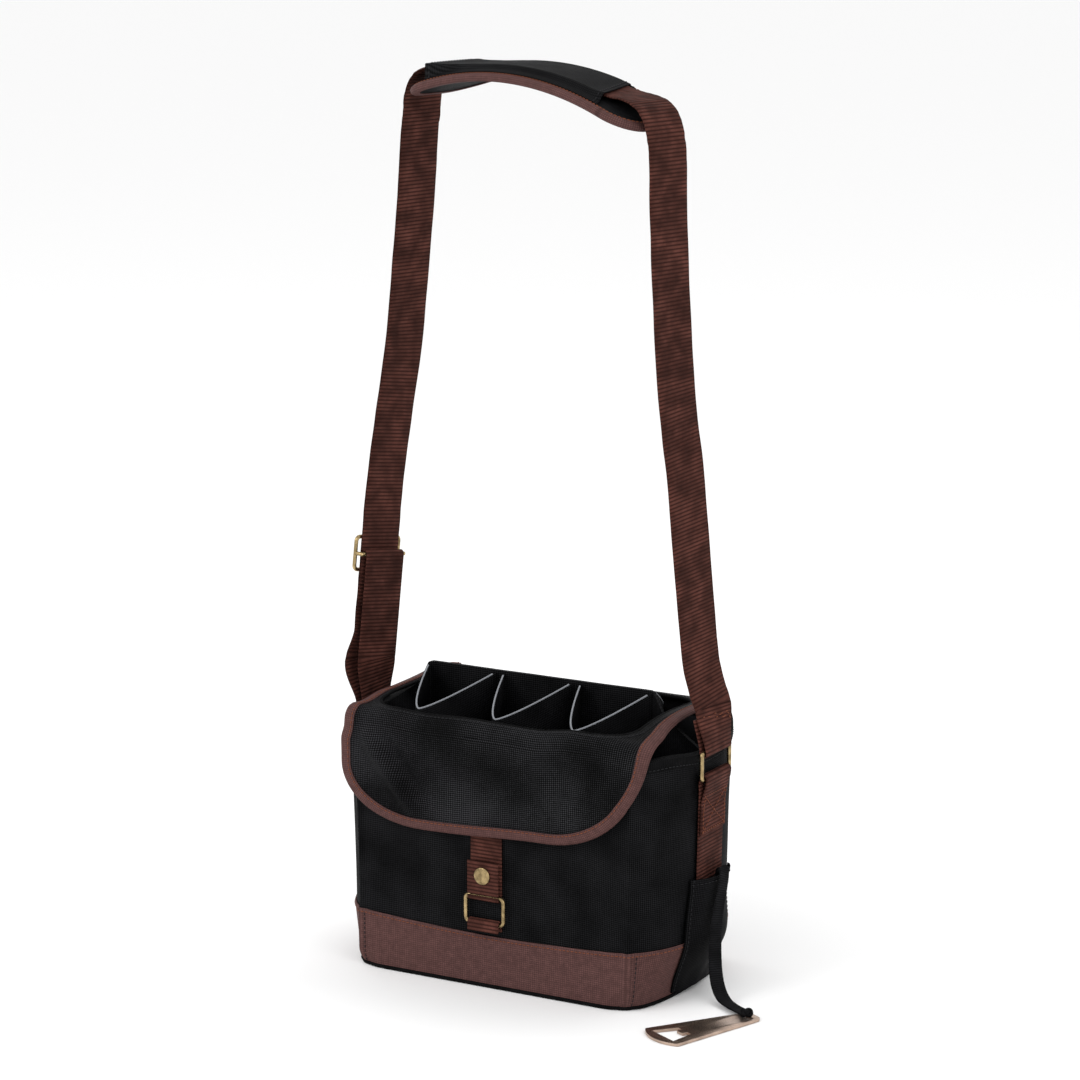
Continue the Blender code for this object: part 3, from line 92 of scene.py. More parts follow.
# Degrees along the arc over the pad, and the strap's share of the arc's radius there
CREST = ((28.5, 0.9633), (27.1, 0.991), (25.6, 1.0101), (23.7, 1.0191), (21.7, 1.0162), (19.5, 1.0068),
         (17, 1), (12.5, 1), (8, 1), (3.5, 1), (-1, 1), (-5, 1), (-9, 1.0032), (-13, 1.0126),
         (-16, 1.0245), (-18.6, 1.0234), (-20.6, 1.0076), (-22.2, 0.9799), (-23.3, 0.9482),
         (-24.3, 0.9205))
TETHER_ROUTE = (
    (0.1400, 0.0035, 0.074), (0.1408, 0.0035, 0.0815), (0.1430, 0.003, 0.0896), (0.1468, 0.001, 0.0905),
    (0.1492, -0.0025, 0.0855), (0.1495, -0.006, 0.077), (0.149, -0.0095, 0.066), (0.1485, -0.012, 0.054),
    (0.1483, -0.0135, 0.042), (0.1487, -0.0145, 0.030), (0.1505, -0.0165, 0.019), (0.1545, -0.020, 0.010),
    (0.1615, -0.0255, 0.0045), (0.1705, -0.0315, 0.0031), (0.1795, -0.0370, 0.0032),
    (0.1862, -0.0405, 0.0031),
)


# Sizes and colours that a user can change

def size(name, about, default):
    return bpy.props.FloatProperty(name=name, description=about, default=default, unit="LENGTH")


def colour(name, about, default):
    return bpy.props.FloatVectorProperty(name=name, description=about, default=default, subtype="COLOR")


class ToteSizes(bpy.types.PropertyGroup):
    weave_pitch: size("Weave pitch", "Distance between the threads of the black cloth", 0.0015)
    rib_pitch: size("Rib pitch", "Distance between the ribs of the webbing", 0.0027)
    web_thickness: size("Webbing thickness", "Thickness of the webbing", 0.0014)
    strap_width: size("Strap width", "Width of the shoulder webbing", 0.038)
    closure_width: size("Closure width", "Width of the closure webbing", 0.0254)
    stitch_pitch: size("Stitch pitch", "Distance from one stitch to the next", 0.0032)
    stitch_length: size("Stitch length", "Length of one stitch", 0.0025)
    thread: size("Thread radius", "Radius of the sewing thread", 0.00033)


class ToteColours(bpy.types.PropertyGroup):
    cloth: colour("Cloth", "Black woven cloth", (0.0011, 0.0011, 0.0012))
    band: colour("Band", "Mauve brown coated cloth", (0.080, 0.039, 0.036))
    webbing: colour("Webbing", "Red brown webbing", (0.034, 0.0122, 0.0092))
    brass: colour("Brass", "Antique brass", (0.38, 0.28, 0.14))
    thread: colour("Thread", "Orange brown sewing thread", (0.19, 0.058, 0.027))


# Materials

class Finish:
    """A new material with its Principled shader, and helpers that add nodes to it."""

    def __init__(self, name, color, roughness, metallic=0.0, gloss=0.14):
        self.material = bpy.data.materials.new(name)
        self.material.use_nodes = True
        self.material.diffuse_color = (*color, 1)
        self.color, self.roughness = color, roughness
        self.tree = self.material.node_tree
        self.shader = self.tree.nodes["Principled BSDF"]
        self.set(self.shader, {"Base Color": (*color, 1), "Roughness": roughness, "Metallic": metallic,
                               "Specular IOR Level": 0.5 if metallic else gloss})

    def set(self, node, values):
        """Link or set inputs of a node, by name or number."""
        for key, value in values.items():
            if isinstance(value, bpy.types.NodeSocket):
                self.tree.links.new(value, node.inputs[key])
            else:
                node.inputs[key].default_value = value

    def add(self, kind, values, operation=None):
        """A new node's first output."""
        node = self.tree.nodes.new("ShaderNode" + kind)
        if operation:
            node.operation = operation
        self.set(node, values)
        return node.outputs[0]

    def maths(self, operation, *values):
        return self.add("Math", dict(enumerate(values)), operation)

    def spread(self, value, *limits):
        """A value stretched from its low and high limits to 0 and 1, or to two further limits."""
        return self.add("MapRange", dict(enumerate((value, *limits))))

    def cloud(self, scale, detail):
        where = self.tree.nodes.new("ShaderNodeTexCoord").outputs["Object"]
        return self.add("TexNoise", {"Vector": where, "Scale": scale, "Detail": detail})

    def cloth_place(self):
        """Coordinates across and along the piece's own cloth."""
        place = self.tree.nodes.new("ShaderNodeUVMap")
        place.uv_map = "cloth"
        return place.outputs[0]

    def parts(self, vector):
        node = self.tree.nodes.new("ShaderNodeSeparateXYZ")
        self.set(node, {0: vector})
        return node.outputs[0], node.outputs[1]

    def shade(self, factor, dark, light):
        """Colour the surface between two shares of its own colour."""
        mix = self.tree.nodes.new("ShaderNodeMix")
        mix.data_type = "RGBA"
        shades = [(*(min(c * share, 1) for c in self.color), 1) for share in (dark, light)]
        self.set(mix, {0: factor, 6: shades[0], 7: shades[1]})
        self.set(self.shader, {"Base Color": mix.outputs[2]})

    def roughen(self, value, less, more):
        rough = self.spread(value, 0.3, 0.7, self.roughness - less, self.roughness + more)
        self.set(self.shader, {"Roughness": rough})

    def bump(self, height, strength, depth):
        raised = self.add("Bump", {"Strength": strength, "Distance": depth, "Height": height})
        self.set(self.shader, {"Normal": raised})


def woven(name, color, pitch, lift, roughness, depth, cloudy, gloss, low=0.05):
    """Twill on the piece's own cloth coordinates, its thread tops painted lighter as sheen in soft uneven
    patches.
    """
    finish = Finish(name, color, roughness, gloss=gloss)
    turns = finish.add("VectorMath", {0: finish.cloth_place(), "Scale": math.pi / pitch}, "SCALE")
    across, along = finish.parts(turns)
    warp = finish.maths("SINE", finish.maths("ADD", across, along))
    weft = finish.maths("SINE", finish.maths("SUBTRACT", across, along))
    weave = finish.maths("MULTIPLY_ADD", finish.maths("MULTIPLY", warp, weft), 0.5, 0.5)
    # Painted sheen: cloudy patches where the light catches the cloth; the same noise also varies the
    # roughness.
    cloud = finish.cloud(cloudy, 4.0)
    even = finish.maths("MULTIPLY_ADD", finish.cloud(1400.0, 1.0), 0.4, 0.3)
    weave_and_painted_sheen = finish.maths("MULTIPLY", finish.maths("MULTIPLY", weave, cloud), even)
    # The colour runs from a dark share up to the light share (lift), which paints the highlight on the thread
    # tops.
    finish.shade(finish.spread(weave_and_painted_sheen, low, 0.32), 0.75, lift)
    finish.roughen(cloud, 0.09, 0.09)
    finish.bump(weave, 0.9, depth)
    return finish.material


def ribbed(name, color, pitch, lift, across, depth):
    """Webbing: ribs across its length in short threads, the rib tops painted lighter as highlights."""
    finish = Finish(name, color, 0.7, gloss=0.04)
    aside, along = finish.parts(finish.cloth_place())
    rib = finish.maths("ABSOLUTE", finish.maths("SINE", finish.maths("MULTIPLY", along, math.pi / pitch)))
    row = finish.maths("FLOOR", finish.maths("DIVIDE", along, pitch))
    side = finish.maths("MULTIPLY_ADD", aside, 2 * math.pi / across, finish.maths("MULTIPLY", row, math.pi))
    thread = finish.maths("MULTIPLY_ADD", finish.maths("SINE", side), 0.5, 0.5)
    body = finish.maths("MULTIPLY_ADD", finish.maths("MULTIPLY", rib, thread), 0.45, rib)
    cloud = finish.cloud(70.0, 4.0)
    # Painted highlight on the rib tops, stronger in cloudy patches where the light catches the webbing.
    painted_rib_highlight = finish.maths("MULTIPLY", body, finish.maths("MULTIPLY", cloud, cloud))
    finish.shade(finish.spread(painted_rib_highlight, 0.04, 0.60), 0.8, lift)
    finish.bump(body, 1.0, depth)
    return finish.material


def aged_metal(name, color, roughness, dark, light, scale):
    """Metal with stained patches of a dark and a light share of its colour."""
    finish = Finish(name, color, roughness, metallic=1.0)
    fine = finish.cloud(1500.0, 2.0)
    finish.shade(finish.spread(finish.cloud(scale, 5.0), 0.35, 0.65), dark, light)
    finish.roughen(fine, 0.08, 0.14)
    finish.bump(fine, 0.35, 0.0001)
    return finish.material


def grained(name, color, roughness, scale=700.0, depth=0.0001):
    """An even surface with a fine grain, as film, foam, board and thread have."""
    finish = Finish(name, color, roughness)
    fine = finish.cloud(scale, 3.0)
    finish.shade(finish.spread(fine, 0.3, 0.7), 0.8, 1.15)
    finish.bump(fine, 0.5, depth)
    return finish.material


FINISHES = {}


def make_finishes(sizes, colours):
    cloth, pitch = tuple(colours.cloth), sizes.weave_pitch
    FINISHES.update({
        # The number after each woven or ribbed pitch is how much lighter the lit threads are painted, as
        # sheen and highlights.
        "cloth": woven("black_cloth", cloth, pitch, 17.0, 0.6, 0.0002, 30, 0.02),
        # The lid's cloth has the strongest painted sheen, in larger patches, where its wrinkles catch the
        # light.
        "lid_cloth": woven("black_lid_cloth", cloth, pitch, 44.0, 0.5, 0.0004, 16, 0.03, 0.11),
        "band": woven("brown_coated_cloth", tuple(colours.band), pitch, 1.75, 0.6, 0.0002, 260, 0.05),
        "webbing": ribbed("brown_webbing", tuple(colours.webbing), sizes.rib_pitch, 3.9, 0.0012, 0.0004),
        "tape": ribbed("black_grosgrain", (0.0045, 0.0045, 0.005), 0.0016, 4.0, 0.0011, 0.0003),
        "binding": ribbed("black_binding_tape", (0.0022, 0.0022, 0.0024), 0.0014, 3.5, 0.0012, 0.0002),
        "brass": aged_metal("antique_brass", tuple(colours.brass), 0.28, 0.55, 1.25, 220.0),
        "plate": aged_metal("brass_plate", (0.50, 0.375, 0.30), 0.30, 0.75, 1.1, 70.0),
        "thread": grained("sewing_thread", tuple(colours.thread), 0.6, 2500.0),
        "black_thread": grained("black_thread", (0.016, 0.016, 0.018), 0.6, 2500.0),
        "lining": grained("dark_lining_film", (0.018, 0.018, 0.020), 0.4),
        "foam": grained("white_foam", (0.72, 0.72, 0.70), 0.9),
        "board": grained("black_board", (0.02, 0.02, 0.02), 0.6),
        "edging": grained("pale_grey_edging", (0.23, 0.24, 0.26), 0.5, 1500.0),
        "grip": grained("grip_tape", (0.012, 0.012, 0.012), 0.95, 1800.0, 0.0006),
    })
    for node, finish in (("base_board", "board"), ("foam_base", "foam"), ("grip_strip_panel", "grip"),
                         ("grip_strip_lid", "grip"), ("snap_stud", "brass")):
        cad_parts[node].data.materials[0] = FINISHES[finish]


# Meshes

def finished(name, finish, points, faces, uvs=None):
    """A new object from points and faces, smooth, with its cloth coordinates in metres."""
    mesh = bpy.data.meshes.new(name)
    mesh.from_pydata([tuple(p) for p in points], [], faces)
    layer = mesh.uv_layers.new(name="cloth")
    if uvs is not None:
        for loop in mesh.loops:
            layer.data[loop.index].uv = uvs[loop.vertex_index]
    work = bmesh.new()
    work.from_mesh(mesh)
    bmesh.ops.recalc_face_normals(work, faces=work.faces)
    work.to_mesh(mesh)
    work.free()
    mesh.materials.append(FINISHES[finish])
    mesh.shade_smooth()
    mesh.set_sharp_from_angle(angle=math.radians(50))
    made = bpy.data.objects.new(name, mesh)
    bpy.context.collection.objects.link(made)
    return made


def put(made, body, slot=None, *nodes):
    """Let a piece ride on a body, in place of some of the frame's nodes; the colour slot is not used."""
    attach(made, body)
    if nodes:
        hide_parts(*nodes)
    return made


def runs_of(path):
    """Length along a path at each of its points."""
    runs = [0.0]
    for a, b in zip(path, path[1:]):
        runs.append(runs[-1] + (b - a).length)
    return runs


def grid_cloth(name, finish, at, layers, columns, rows, flat=None):
    """A sheet between two layers of at(column, row, layer); its coordinates follow its lengths or flat."""
    width = columns + 1
    cells = [(i, j) for j in range(rows + 1) for i in range(width)]
    tops = [at(i, j, layers[0]) for i, j in cells]
    unders = [at(i, j, layers[1]) for i, j in cells]
    middle_row = (rows // 2) * width
    across = runs_of(tops[middle_row:middle_row + width])
    along = runs_of(tops[columns // 2::width])
    uvs = [flat(i, j) if flat else (across[i], along[j]) for i, j in cells] * 2
    under = len(tops)
    faces = []
    for j in range(rows):
        for i in range(columns):
            a = j * width + i
            faces.append((a, a + 1, a + 1 + width, a + width))
            faces.append((under + a, under + a + width, under + a + 1 + width, under + a + 1))
    rim = list(range(columns)) + [columns + j * width for j in range(rows)]
    rim += [rows * width + i for i in range(columns, 0, -1)] + [j * width for j in range(rows, 0, -1)]
    for a, b in zip(rim, rim[1:] + rim[:1]):
        faces.append((b, a, under + a, under + b))
    return finished(name, finish, tops + unders, faces, uvs)


def skin(rings, closed=False, lengths=None):
    """Points, faces and cloth coordinates of a skin through rings of equal length."""
    count = len(rings[0])
    points = [p for ring in rings for p in ring]
    girth = runs_of(rings[len(rings) // 2])
    run = lengths or [0.0]
    if not lengths:
        for a, b in zip(rings, rings[1:]):
            run.append(run[-1] + ((sum(b, Vector()) - sum(a, Vector())) / count).length)
    uvs = [(girth[k], run[i]) for i in range(len(rings)) for k in range(count)]
    faces = []
    for i in range(len(rings) if closed else len(rings) - 1):
        here, there = i * count, (i + 1) % len(rings) * count
        for k in range(count):
            m = (k + 1) % count
            faces.append((here + k, here + m, there + m, there + k))
    if not closed:
        faces.append(tuple(range(count)))
        faces.append(tuple((len(rings) - 1) * count + k for k in range(count)))
    return points, faces, uvs


def skinned(name, finish, rings, closed=False, lengths=None):
    return finished(name, finish, *skin(rings, closed, lengths))


def prism(name, finish, outline, place, low, high):
    """A plate or cutter with a flat outline, between two heights."""
    points, faces, _ = skin([[place(a, b, z) for a, b in outline] for z in (low, high)])
    return finished(name, finish, points, faces)


def carve(made, cutters, rounded=0.0):
    """Cut shapes out of a piece, round its edges if asked, and keep the result as its plain mesh."""
    for cutter in cutters:
        away = made.modifiers.new(cutter.name, "BOOLEAN")
        away.operation = "DIFFERENCE"
        away.object = cutter
    if rounded:
        edges = made.modifiers.new("edges", "BEVEL")
        edges.width, edges.segments, edges.limit_method = rounded, 2, "ANGLE"
    bpy.context.view_layer.update()
    plain = bpy.data.meshes.new_from_object(made.evaluated_get(bpy.context.evaluated_depsgraph_get()))
    made.modifiers.clear()
    made.data = plain
    for cutter in cutters:
        bpy.data.objects.remove(cutter)


def heading(path, i, closed):
    """The direction of a path at one of its points."""
    before = path[i - 1] if i or closed else path[i]
    after = path[(i + 1) % len(path)] if closed or i + 1 < len(path) else path[i]
    return (after - before).normalized()


def web(name, finish, path, way, width, thickness, level=(), soft=0.0):
    """A flat band with rounded edges along a path, level at some points, slightly uneven if soft."""
    half, lift, steps = width / 2, thickness / 2, 6
    flats = [(width - 2 * lift) * k / steps for k in range(1, steps)]
    section = [(-half, 0), (-half + lift, -lift)]
    section += [(-half + lift + flat, -lift) for flat in flats]
    section += [(half - lift, -lift), (half, 0), (half - lift, lift)]
    section += [(half - lift - flat, lift) for flat in flats]
    section += [(-half + lift, lift)]
    rings = []
    for i, centre in enumerate(path):
        along = heading(path, i, False)
        if i in level:
            along = Vector((0, 0, math.copysign(1, along.z)))
        wide = way(i)
        wide = (wide - along * wide.dot(along)).normalized()
        proud = along.cross(wide)
        ring = []
        for a, b in section:
            bow = soft * noise.noise(Vector((a * 30, 0, i * 0.35))) * 2
            ring.append(centre + wide * a + proud * (b + bow))
        rings.append(ring)
    return skinned(name, finish, rings)


def wire(name, finish, path, radius, closed=True, sides=14):
    """A round bar along a path, with capped ends where it doesn't close."""
    rings = []
    lift = heading(path, 0, closed).orthogonal().normalized()
    for i, centre in enumerate(path):
        along = heading(path, i, closed)
        lift = (lift - along * lift.dot(along)).normalized()
        side = along.cross(lift)
        rings.append([
            centre + (lift * math.cos(a) + side * math.sin(a)) * radius
            for a in (2 * math.pi * k / sides for k in range(sides))
        ])
    return skinned(name, finish, rings, closed)


def arc(centre_a, centre_b, radius, start, end, steps):
    for i in range(steps + 1):
        angle = math.radians(start + (end - start) * i / steps)
        yield centre_a + radius * math.cos(angle), centre_b + radius * math.sin(angle)


def rounded_rectangle(half_a, half_b, corner, steps):
    outline = []
    for sign_a, sign_b, start in ((1, -1, 270), (1, 1, 0), (-1, 1, 90), (-1, -1, 180)):
        centre_a, centre_b = sign_a * (half_a - corner), sign_b * (half_b - corner)
        outline += list(arc(centre_a, centre_b, corner, start, start + 90, steps))
    return outline


def divided(outline, pitch):
    """A closed flat outline with its long sides split into steps of about a pitch."""
    fine = []
    for (a, b), (c, d) in zip(outline, outline[1:] + outline[:1]):
        steps = max(1, round(math.hypot(c - a, d - b) / pitch))
        fine += [(a + (c - a) * (t / steps), b + (d - b) * (t / steps)) for t in range(steps)]
    return fine


def beside(edge, k, closed, place):
    """A function that gives places by distance to one side of a flat edge's point, and by lift."""
    before = edge[k - 1] if k or closed else edge[k]
    after = edge[(k + 1) % len(edge)] if closed or k + 1 < len(edge) else edge[k]
    da, db = after[0] - before[0], after[1] - before[1]
    length = math.hypot(da, db)
    return lambda off, lift: place(edge[k][0] + db / length * off, edge[k][1] - da / length * off, lift)


def smooth_path(points, spans):
    """A smooth curve through points, with a number of spans between each two."""
    points = [Vector(p) for p in points]
    ends = [points[0] * 2 - points[1]] + points + [points[-1] * 2 - points[-2]]
    path = []
    for a, b, c, d in zip(ends, ends[1:], ends[2:], ends[3:]):
        for t in (i / spans for i in range(spans)):
            square, cube = a * 2 - b * 5 + c * 4 - d, b * 3 - a - c * 3 + d
            path.append((b * 2 + (c - a) * t + square * t**2 + cube * t**3) / 2)
    return path + [points[-1]]


def eased(share):
    share = min(max(share, 0), 1)
    return share * share * (3 - 2 * share)


def ripple(place, scale, amount, seed=0.0):
    """A soft unevenness between 0 and amount."""
    return amount * (0.5 + 0.5 * noise.noise(Vector(place) * scale + Vector((seed, seed * 1.7, 0))))


# Stitches

STITCH_RUNS = {}


def sew(body, points, thread="thread", closed=False):
    """Note a line of stitches on a body, to be set when the pieces are there."""
    STITCH_RUNS.setdefault((body, thread), []).append(([Vector(p) for p in points], closed))


def straight(start, end, steps):
    """Points from a start to an end, both tuples."""
    return [tuple(a + (b - a) * k / steps for a, b in zip(start, end)) for k in range(steps + 1)]


def stitch_tree():
    """Geometry nodes that set short round stitches along every line of a mesh of edges."""
    tree = bpy.data.node_groups.new("stitch_runs", "GeometryNodeTree")
    face = tree.interface
    face.new_socket("Lines", in_out="INPUT", socket_type="NodeSocketGeometry")
    for name, default in (("Pitch", 0.0032), ("Length", 0.0025), ("Thread radius", 0.0003)):
        socket = face.new_socket(name, in_out="INPUT", socket_type="NodeSocketFloat")
        socket.default_value = default
        socket.subtype = "DISTANCE"
    face.new_socket("Thread", in_out="INPUT", socket_type="NodeSocketMaterial")
    face.new_socket("Stitches", in_out="OUTPUT", socket_type="NodeSocketGeometry")
    new = tree.nodes.new
    given, result = new("NodeGroupInput"), new("NodeGroupOutput")
    curve, points = new("GeometryNodeMeshToCurve"), new("GeometryNodeCurveToPoints")
    points.mode = "LENGTH"
    ball = new("GeometryNodeMeshUVSphere")
    for name, value in (("Segments", 6), ("Rings", 5), ("Radius", 1.0)):
        ball.inputs[name].default_value = value
    half, scale = new("ShaderNodeMath"), new("ShaderNodeCombineXYZ")
    half.operation = "MULTIPLY"
    half.inputs[1].default_value = 0.5
    copies, real = new("GeometryNodeInstanceOnPoints"), new("GeometryNodeRealizeInstances")
    dressed = new("GeometryNodeSetMaterial")
    for source, output, target, socket in (
        (given, "Lines", curve, "Mesh"), (curve, "Curve", points, "Curve"),
        (given, "Pitch", points, "Length"), (given, "Length", half, 0),
        (given, "Thread radius", scale, 0), (given, "Thread radius", scale, 1), (half, 0, scale, 2),
        (points, "Points", copies, "Points"), (ball, "Mesh", copies, "Instance"),
        (points, "Rotation", copies, "Rotation"), (scale, 0, copies, "Scale"),
        (copies, "Instances", real, "Geometry"), (real, "Geometry", dressed, "Geometry"),
        (given, "Thread", dressed, "Material"), (dressed, "Geometry", result, "Stitches"),
    ):
        tree.links.new(source.outputs[output], target.inputs[socket])
    return tree


def stitches(tree, name, runs, thread, sizes):
    """The plain mesh of the stitches along some lines."""
    mesh = bpy.data.meshes.new(name + "_lines")
    points, edges = [], []
    for path, closed in runs:
        start = len(points)
        points += [tuple(p) for p in path]
        edges += [(start + i, start + i + 1) for i in range(len(path) - 1)]
        if closed:
            edges.append((len(points) - 1, start))
    mesh.from_pydata(points, edges, [])
    holder = bpy.data.objects.new(name + "_lines", mesh)
    bpy.context.collection.objects.link(holder)
    away = holder.modifiers.new("stitches", "NODES")
    away.node_group = tree
    values = {"Pitch": sizes.stitch_pitch, "Length": sizes.stitch_length, "Thread radius": sizes.thread,
              "Thread": FINISHES[thread]}
    for item in tree.interface.items_tree:
        if item.in_out == "INPUT" and item.name in values:
            away[item.identifier] = values[item.name]
    bpy.context.view_layer.update()
    plain = bpy.data.meshes.new_from_object(holder.evaluated_get(bpy.context.evaluated_depsgraph_get()))
    plain.name = name
    bpy.data.objects.remove(holder)
    plain.shade_smooth()
    made = bpy.data.objects.new(name, plain)
    bpy.context.collection.objects.link(made)
    return made


# Shape of the shell

def side_half_width(y, z):
    foot = 0.5 + 0.5 * eased(z / BULGE_RISE)
    seam = SEAM_HALF_WIDTH + WALL_LEAN * z / WALL_HEIGHT
    return seam + SIDE_BULGE * foot * (1 - min(abs(y) / HALF_DEPTH, 1) ** 3)


def side_top(y):
    share = min(abs(y) / (HALF_DEPTH * 0.88), 1)
    return WALL_HEIGHT - SIDE_DIP * (1 - share**2)


# Points around the shell, how much finer its outline is measured, and which points are its corners
AROUND, FINE, CORNERS = 544, 2, (0, 158, 272, 430)
WALL_FOOT, LEVEL_STEP, INNER_LAYERS = 0.0013, 0.003, -0.0012
OUTER_ROUNDING, INNER_ROUNDING = 0.0022, 0.0042
FOOT_ROUNDING, FOOT_RISE, RIDGE, DIP, SLACK = 0.005, 0.012, 0.0009, 0.0005, 0.0011
CORNER_SINK, CORNER_REACH = 0.011, 0.026


def outline_at(z, rounding):
    """The shell's outline at a height, with soft corners, and the way out at each of its points."""
    seam = SEAM_HALF_WIDTH + WALL_LEAN * z / WALL_HEIGHT
    total = AROUND * FINE
    long, short = round(total * 0.29), round(total * 0.21)
    xs = np.linspace(-seam, seam, long, endpoint=False)
    ys = HALF_DEPTH * np.linspace(-1, 1, short, endpoint=False)
    sides = np.array([side_half_width(y, z) for y in ys])
    front = np.stack([xs, np.full(long, -HALF_DEPTH)], 1)
    right = np.stack([sides, ys], 1)
    raw = np.concatenate([front, right, -front, -right])
    step = np.linalg.norm(np.diff(raw, axis=0, append=raw[:1]), axis=1).mean()
    reach = rounding / step
    k = np.arange(-int(3 * reach), int(3 * reach) + 1)
    weights = np.exp(-0.5 * (k / reach) ** 2)
    weights /= weights.sum()
    soft = sum(w * np.roll(raw, -s, axis=0) for w, s in zip(weights, k))
    tangent = np.roll(soft, -2, axis=0) - np.roll(soft, 2, axis=0)
    tangent /= np.linalg.norm(tangent, axis=1)[:, None]
    out = np.stack([tangent[:, 1], -tangent[:, 0]], 1)
    return soft[::FINE], out[::FINE]


OUTLINES = {}
TOP_OUTLINE = outline_at(WALL_HEIGHT, INNER_ROUNDING)[0]


def outline_of(level, inner):
    """The outline at a level, made once; the layers inside the cloth are rounder."""
    if (level, inner) not in OUTLINES:
        OUTLINES[level, inner] = outline_at(level * LEVEL_STEP, INNER_ROUNDING if inner else OUTER_ROUNDING)
    return OUTLINES[level, inner]


def shell_point(i, z, offset=0.0, slack=True):
    """A point of the shell's outer face, or of a layer at an offset outside it.

    Every layer is rounder at its bottom corners, and the outer ones have a sewn ridge between two dips.
    """
    level = min(max(z, 0), WALL_HEIGHT + LEVEL_STEP) / LEVEL_STEP
    low, inner = int(level), offset < INNER_LAYERS
    (a, n), (b, m) = outline_of(low, inner), outline_of(low + 1, inner)
    run = level - low
    i %= AROUND
    away = min(abs((i - corner + AROUND // 2) % AROUND - AROUND // 2) for corner in CORNERS)
    offset -= FOOT_ROUNDING * math.exp(-((away / 7) ** 2)) * max(1 - z / FOOT_RISE, 0) ** 2
    if offset > INNER_LAYERS:
        ridge = RIDGE * math.exp(-((away / 1.3) ** 2)) * eased(z / 0.01)
        offset += ridge - DIP * math.exp(-(((away - 4) / 2) ** 2))
    place, out = a[i] + (b[i] - a[i]) * run, n[i] + (m[i] - n[i]) * run
    if slack:
        soft = eased(z / 0.03) * eased((WALL_HEIGHT - z) / 0.03)
        offset -= ripple((place[0], place[1], z), 22, SLACK) * soft
    return Vector((place[0] + out[0] * offset, place[1] + out[1] * offset, z))


def shell_ring(z, offset=0.0):
    return [shell_point(i, z, offset) for i in range(AROUND)]


def wall_top(i):
    """Height of the wall's top; the soft front right corner sinks under the hanging lid."""
    place = TOP_OUTLINE[i % AROUND]
    away = math.hypot(place[0] - SEAM_HALF_WIDTH - WALL_LEAN, place[1] + HALF_DEPTH)
    return side_top(place[1]) - CORNER_SINK * math.exp(-((away / CORNER_REACH) ** 2))


def wall_layer(name, finish, offsets, rows):
    """A closed ring of cloth between two offsets, from the walls' foot up to their top."""
    outer, inner = offsets

    def ring(j, offset):
        rises = [wall_top(i) - WALL_FOOT for i in range(AROUND)]
        return [shell_point(i, WALL_FOOT + rise * j / rows, offset) for i, rise in enumerate(rises)]

    rings = [ring(j, outer) for j in range(rows + 1)] + [ring(j, inner) for j in range(rows, -1, -1)]
    return skinned(name, finish, rings, True, [r[0].z for r in rings])


def build_shell():
    cloth = wall_layer("shell_cloth", "cloth", CLOTH, 44)
    put(cloth, "root", "cloth", "front_panel", "back_panel", "left_panel", "right_panel")
    core = wall_layer("foam_core", "foam", FOAM, 12)
    put(core, "root", "foam", "foam_front", "foam_back", "foam_left", "foam_right")
    make_lining()
    make_mouth_tape()
    make_band()
    points, faces, _ = skin([shell_ring(z) for z in (0.0, 0.001)])
    base = finished("base_cloth", "cloth", points, faces, [(p.x, p.y) for p in points])
    put(base, "root", "cloth", "base_panel")
    cord = [shell_point(i, WALL_FOOT, 0.0014, slack=False) for i in range(AROUND)]
    put(wire("base_cord", "binding", cord, 0.0013, sides=8), "root", "binding", "base_piping")


def make_lining():
    """A film bag inside the foam, with a floor."""
    floor, level_top = 0.0084, 0.16
    heights = [floor + (level_top - floor) * j / 16 for j in range(17)]
    rings = []
    for inside, lift, way in ((LINING[0], 0, 1), (LINING[1], 0.0006, -1)):
        layer = [shell_ring(z + lift, inside) for z in heights]
        layer.append([shell_point(i, wall_top(i), inside) for i in range(AROUND)])
        rings += layer[::way]
    bag = skinned("lining_bag", "lining", rings, lengths=[r[0].z for r in rings])
    put(bag, "root", "lining", "lining")


def make_mouth_tape():
    """Black tape folded over the top of the walls, sewn through near its lower edge."""
    section = ((0.0008, -0.0075), (0.0009, -0.003), (0.0007, 0.0004), (-0.0004, 0.0012), (-0.0031, 0.0014),
               (-0.0058, 0.0012), (-0.0069, 0.0004), (-0.0071, -0.003), (-0.0070, -0.0075),
               (-0.0064, -0.0075), (-0.0064, 0.0001), (-0.0031, 0.0003), (0.0002, 0.0001), (0.0002, -0.0075))
    rings = [[shell_point(i, wall_top(i) + rise, out, slack=rise < 0) for out, rise in section]
             for i in range(AROUND)]
    put(skinned("mouth_tape", "binding", rings, True), "root", "binding", "mouth_binding")
    seam = [shell_point(i, wall_top(i) - 0.0055, 0.0010) for i in range(AROUND)]
    sew("root", seam, "black_thread", closed=True)


def band_top(i):
    place = TOP_OUTLINE[i % AROUND]
    if place[1] > -HALF_DEPTH + 0.004:
        return BAND_HEIGHT
    share = place[0] / SEAM_HALF_WIDTH
    return BAND_HEIGHT - BAND_DIP * (1 - min(share**2, 1))


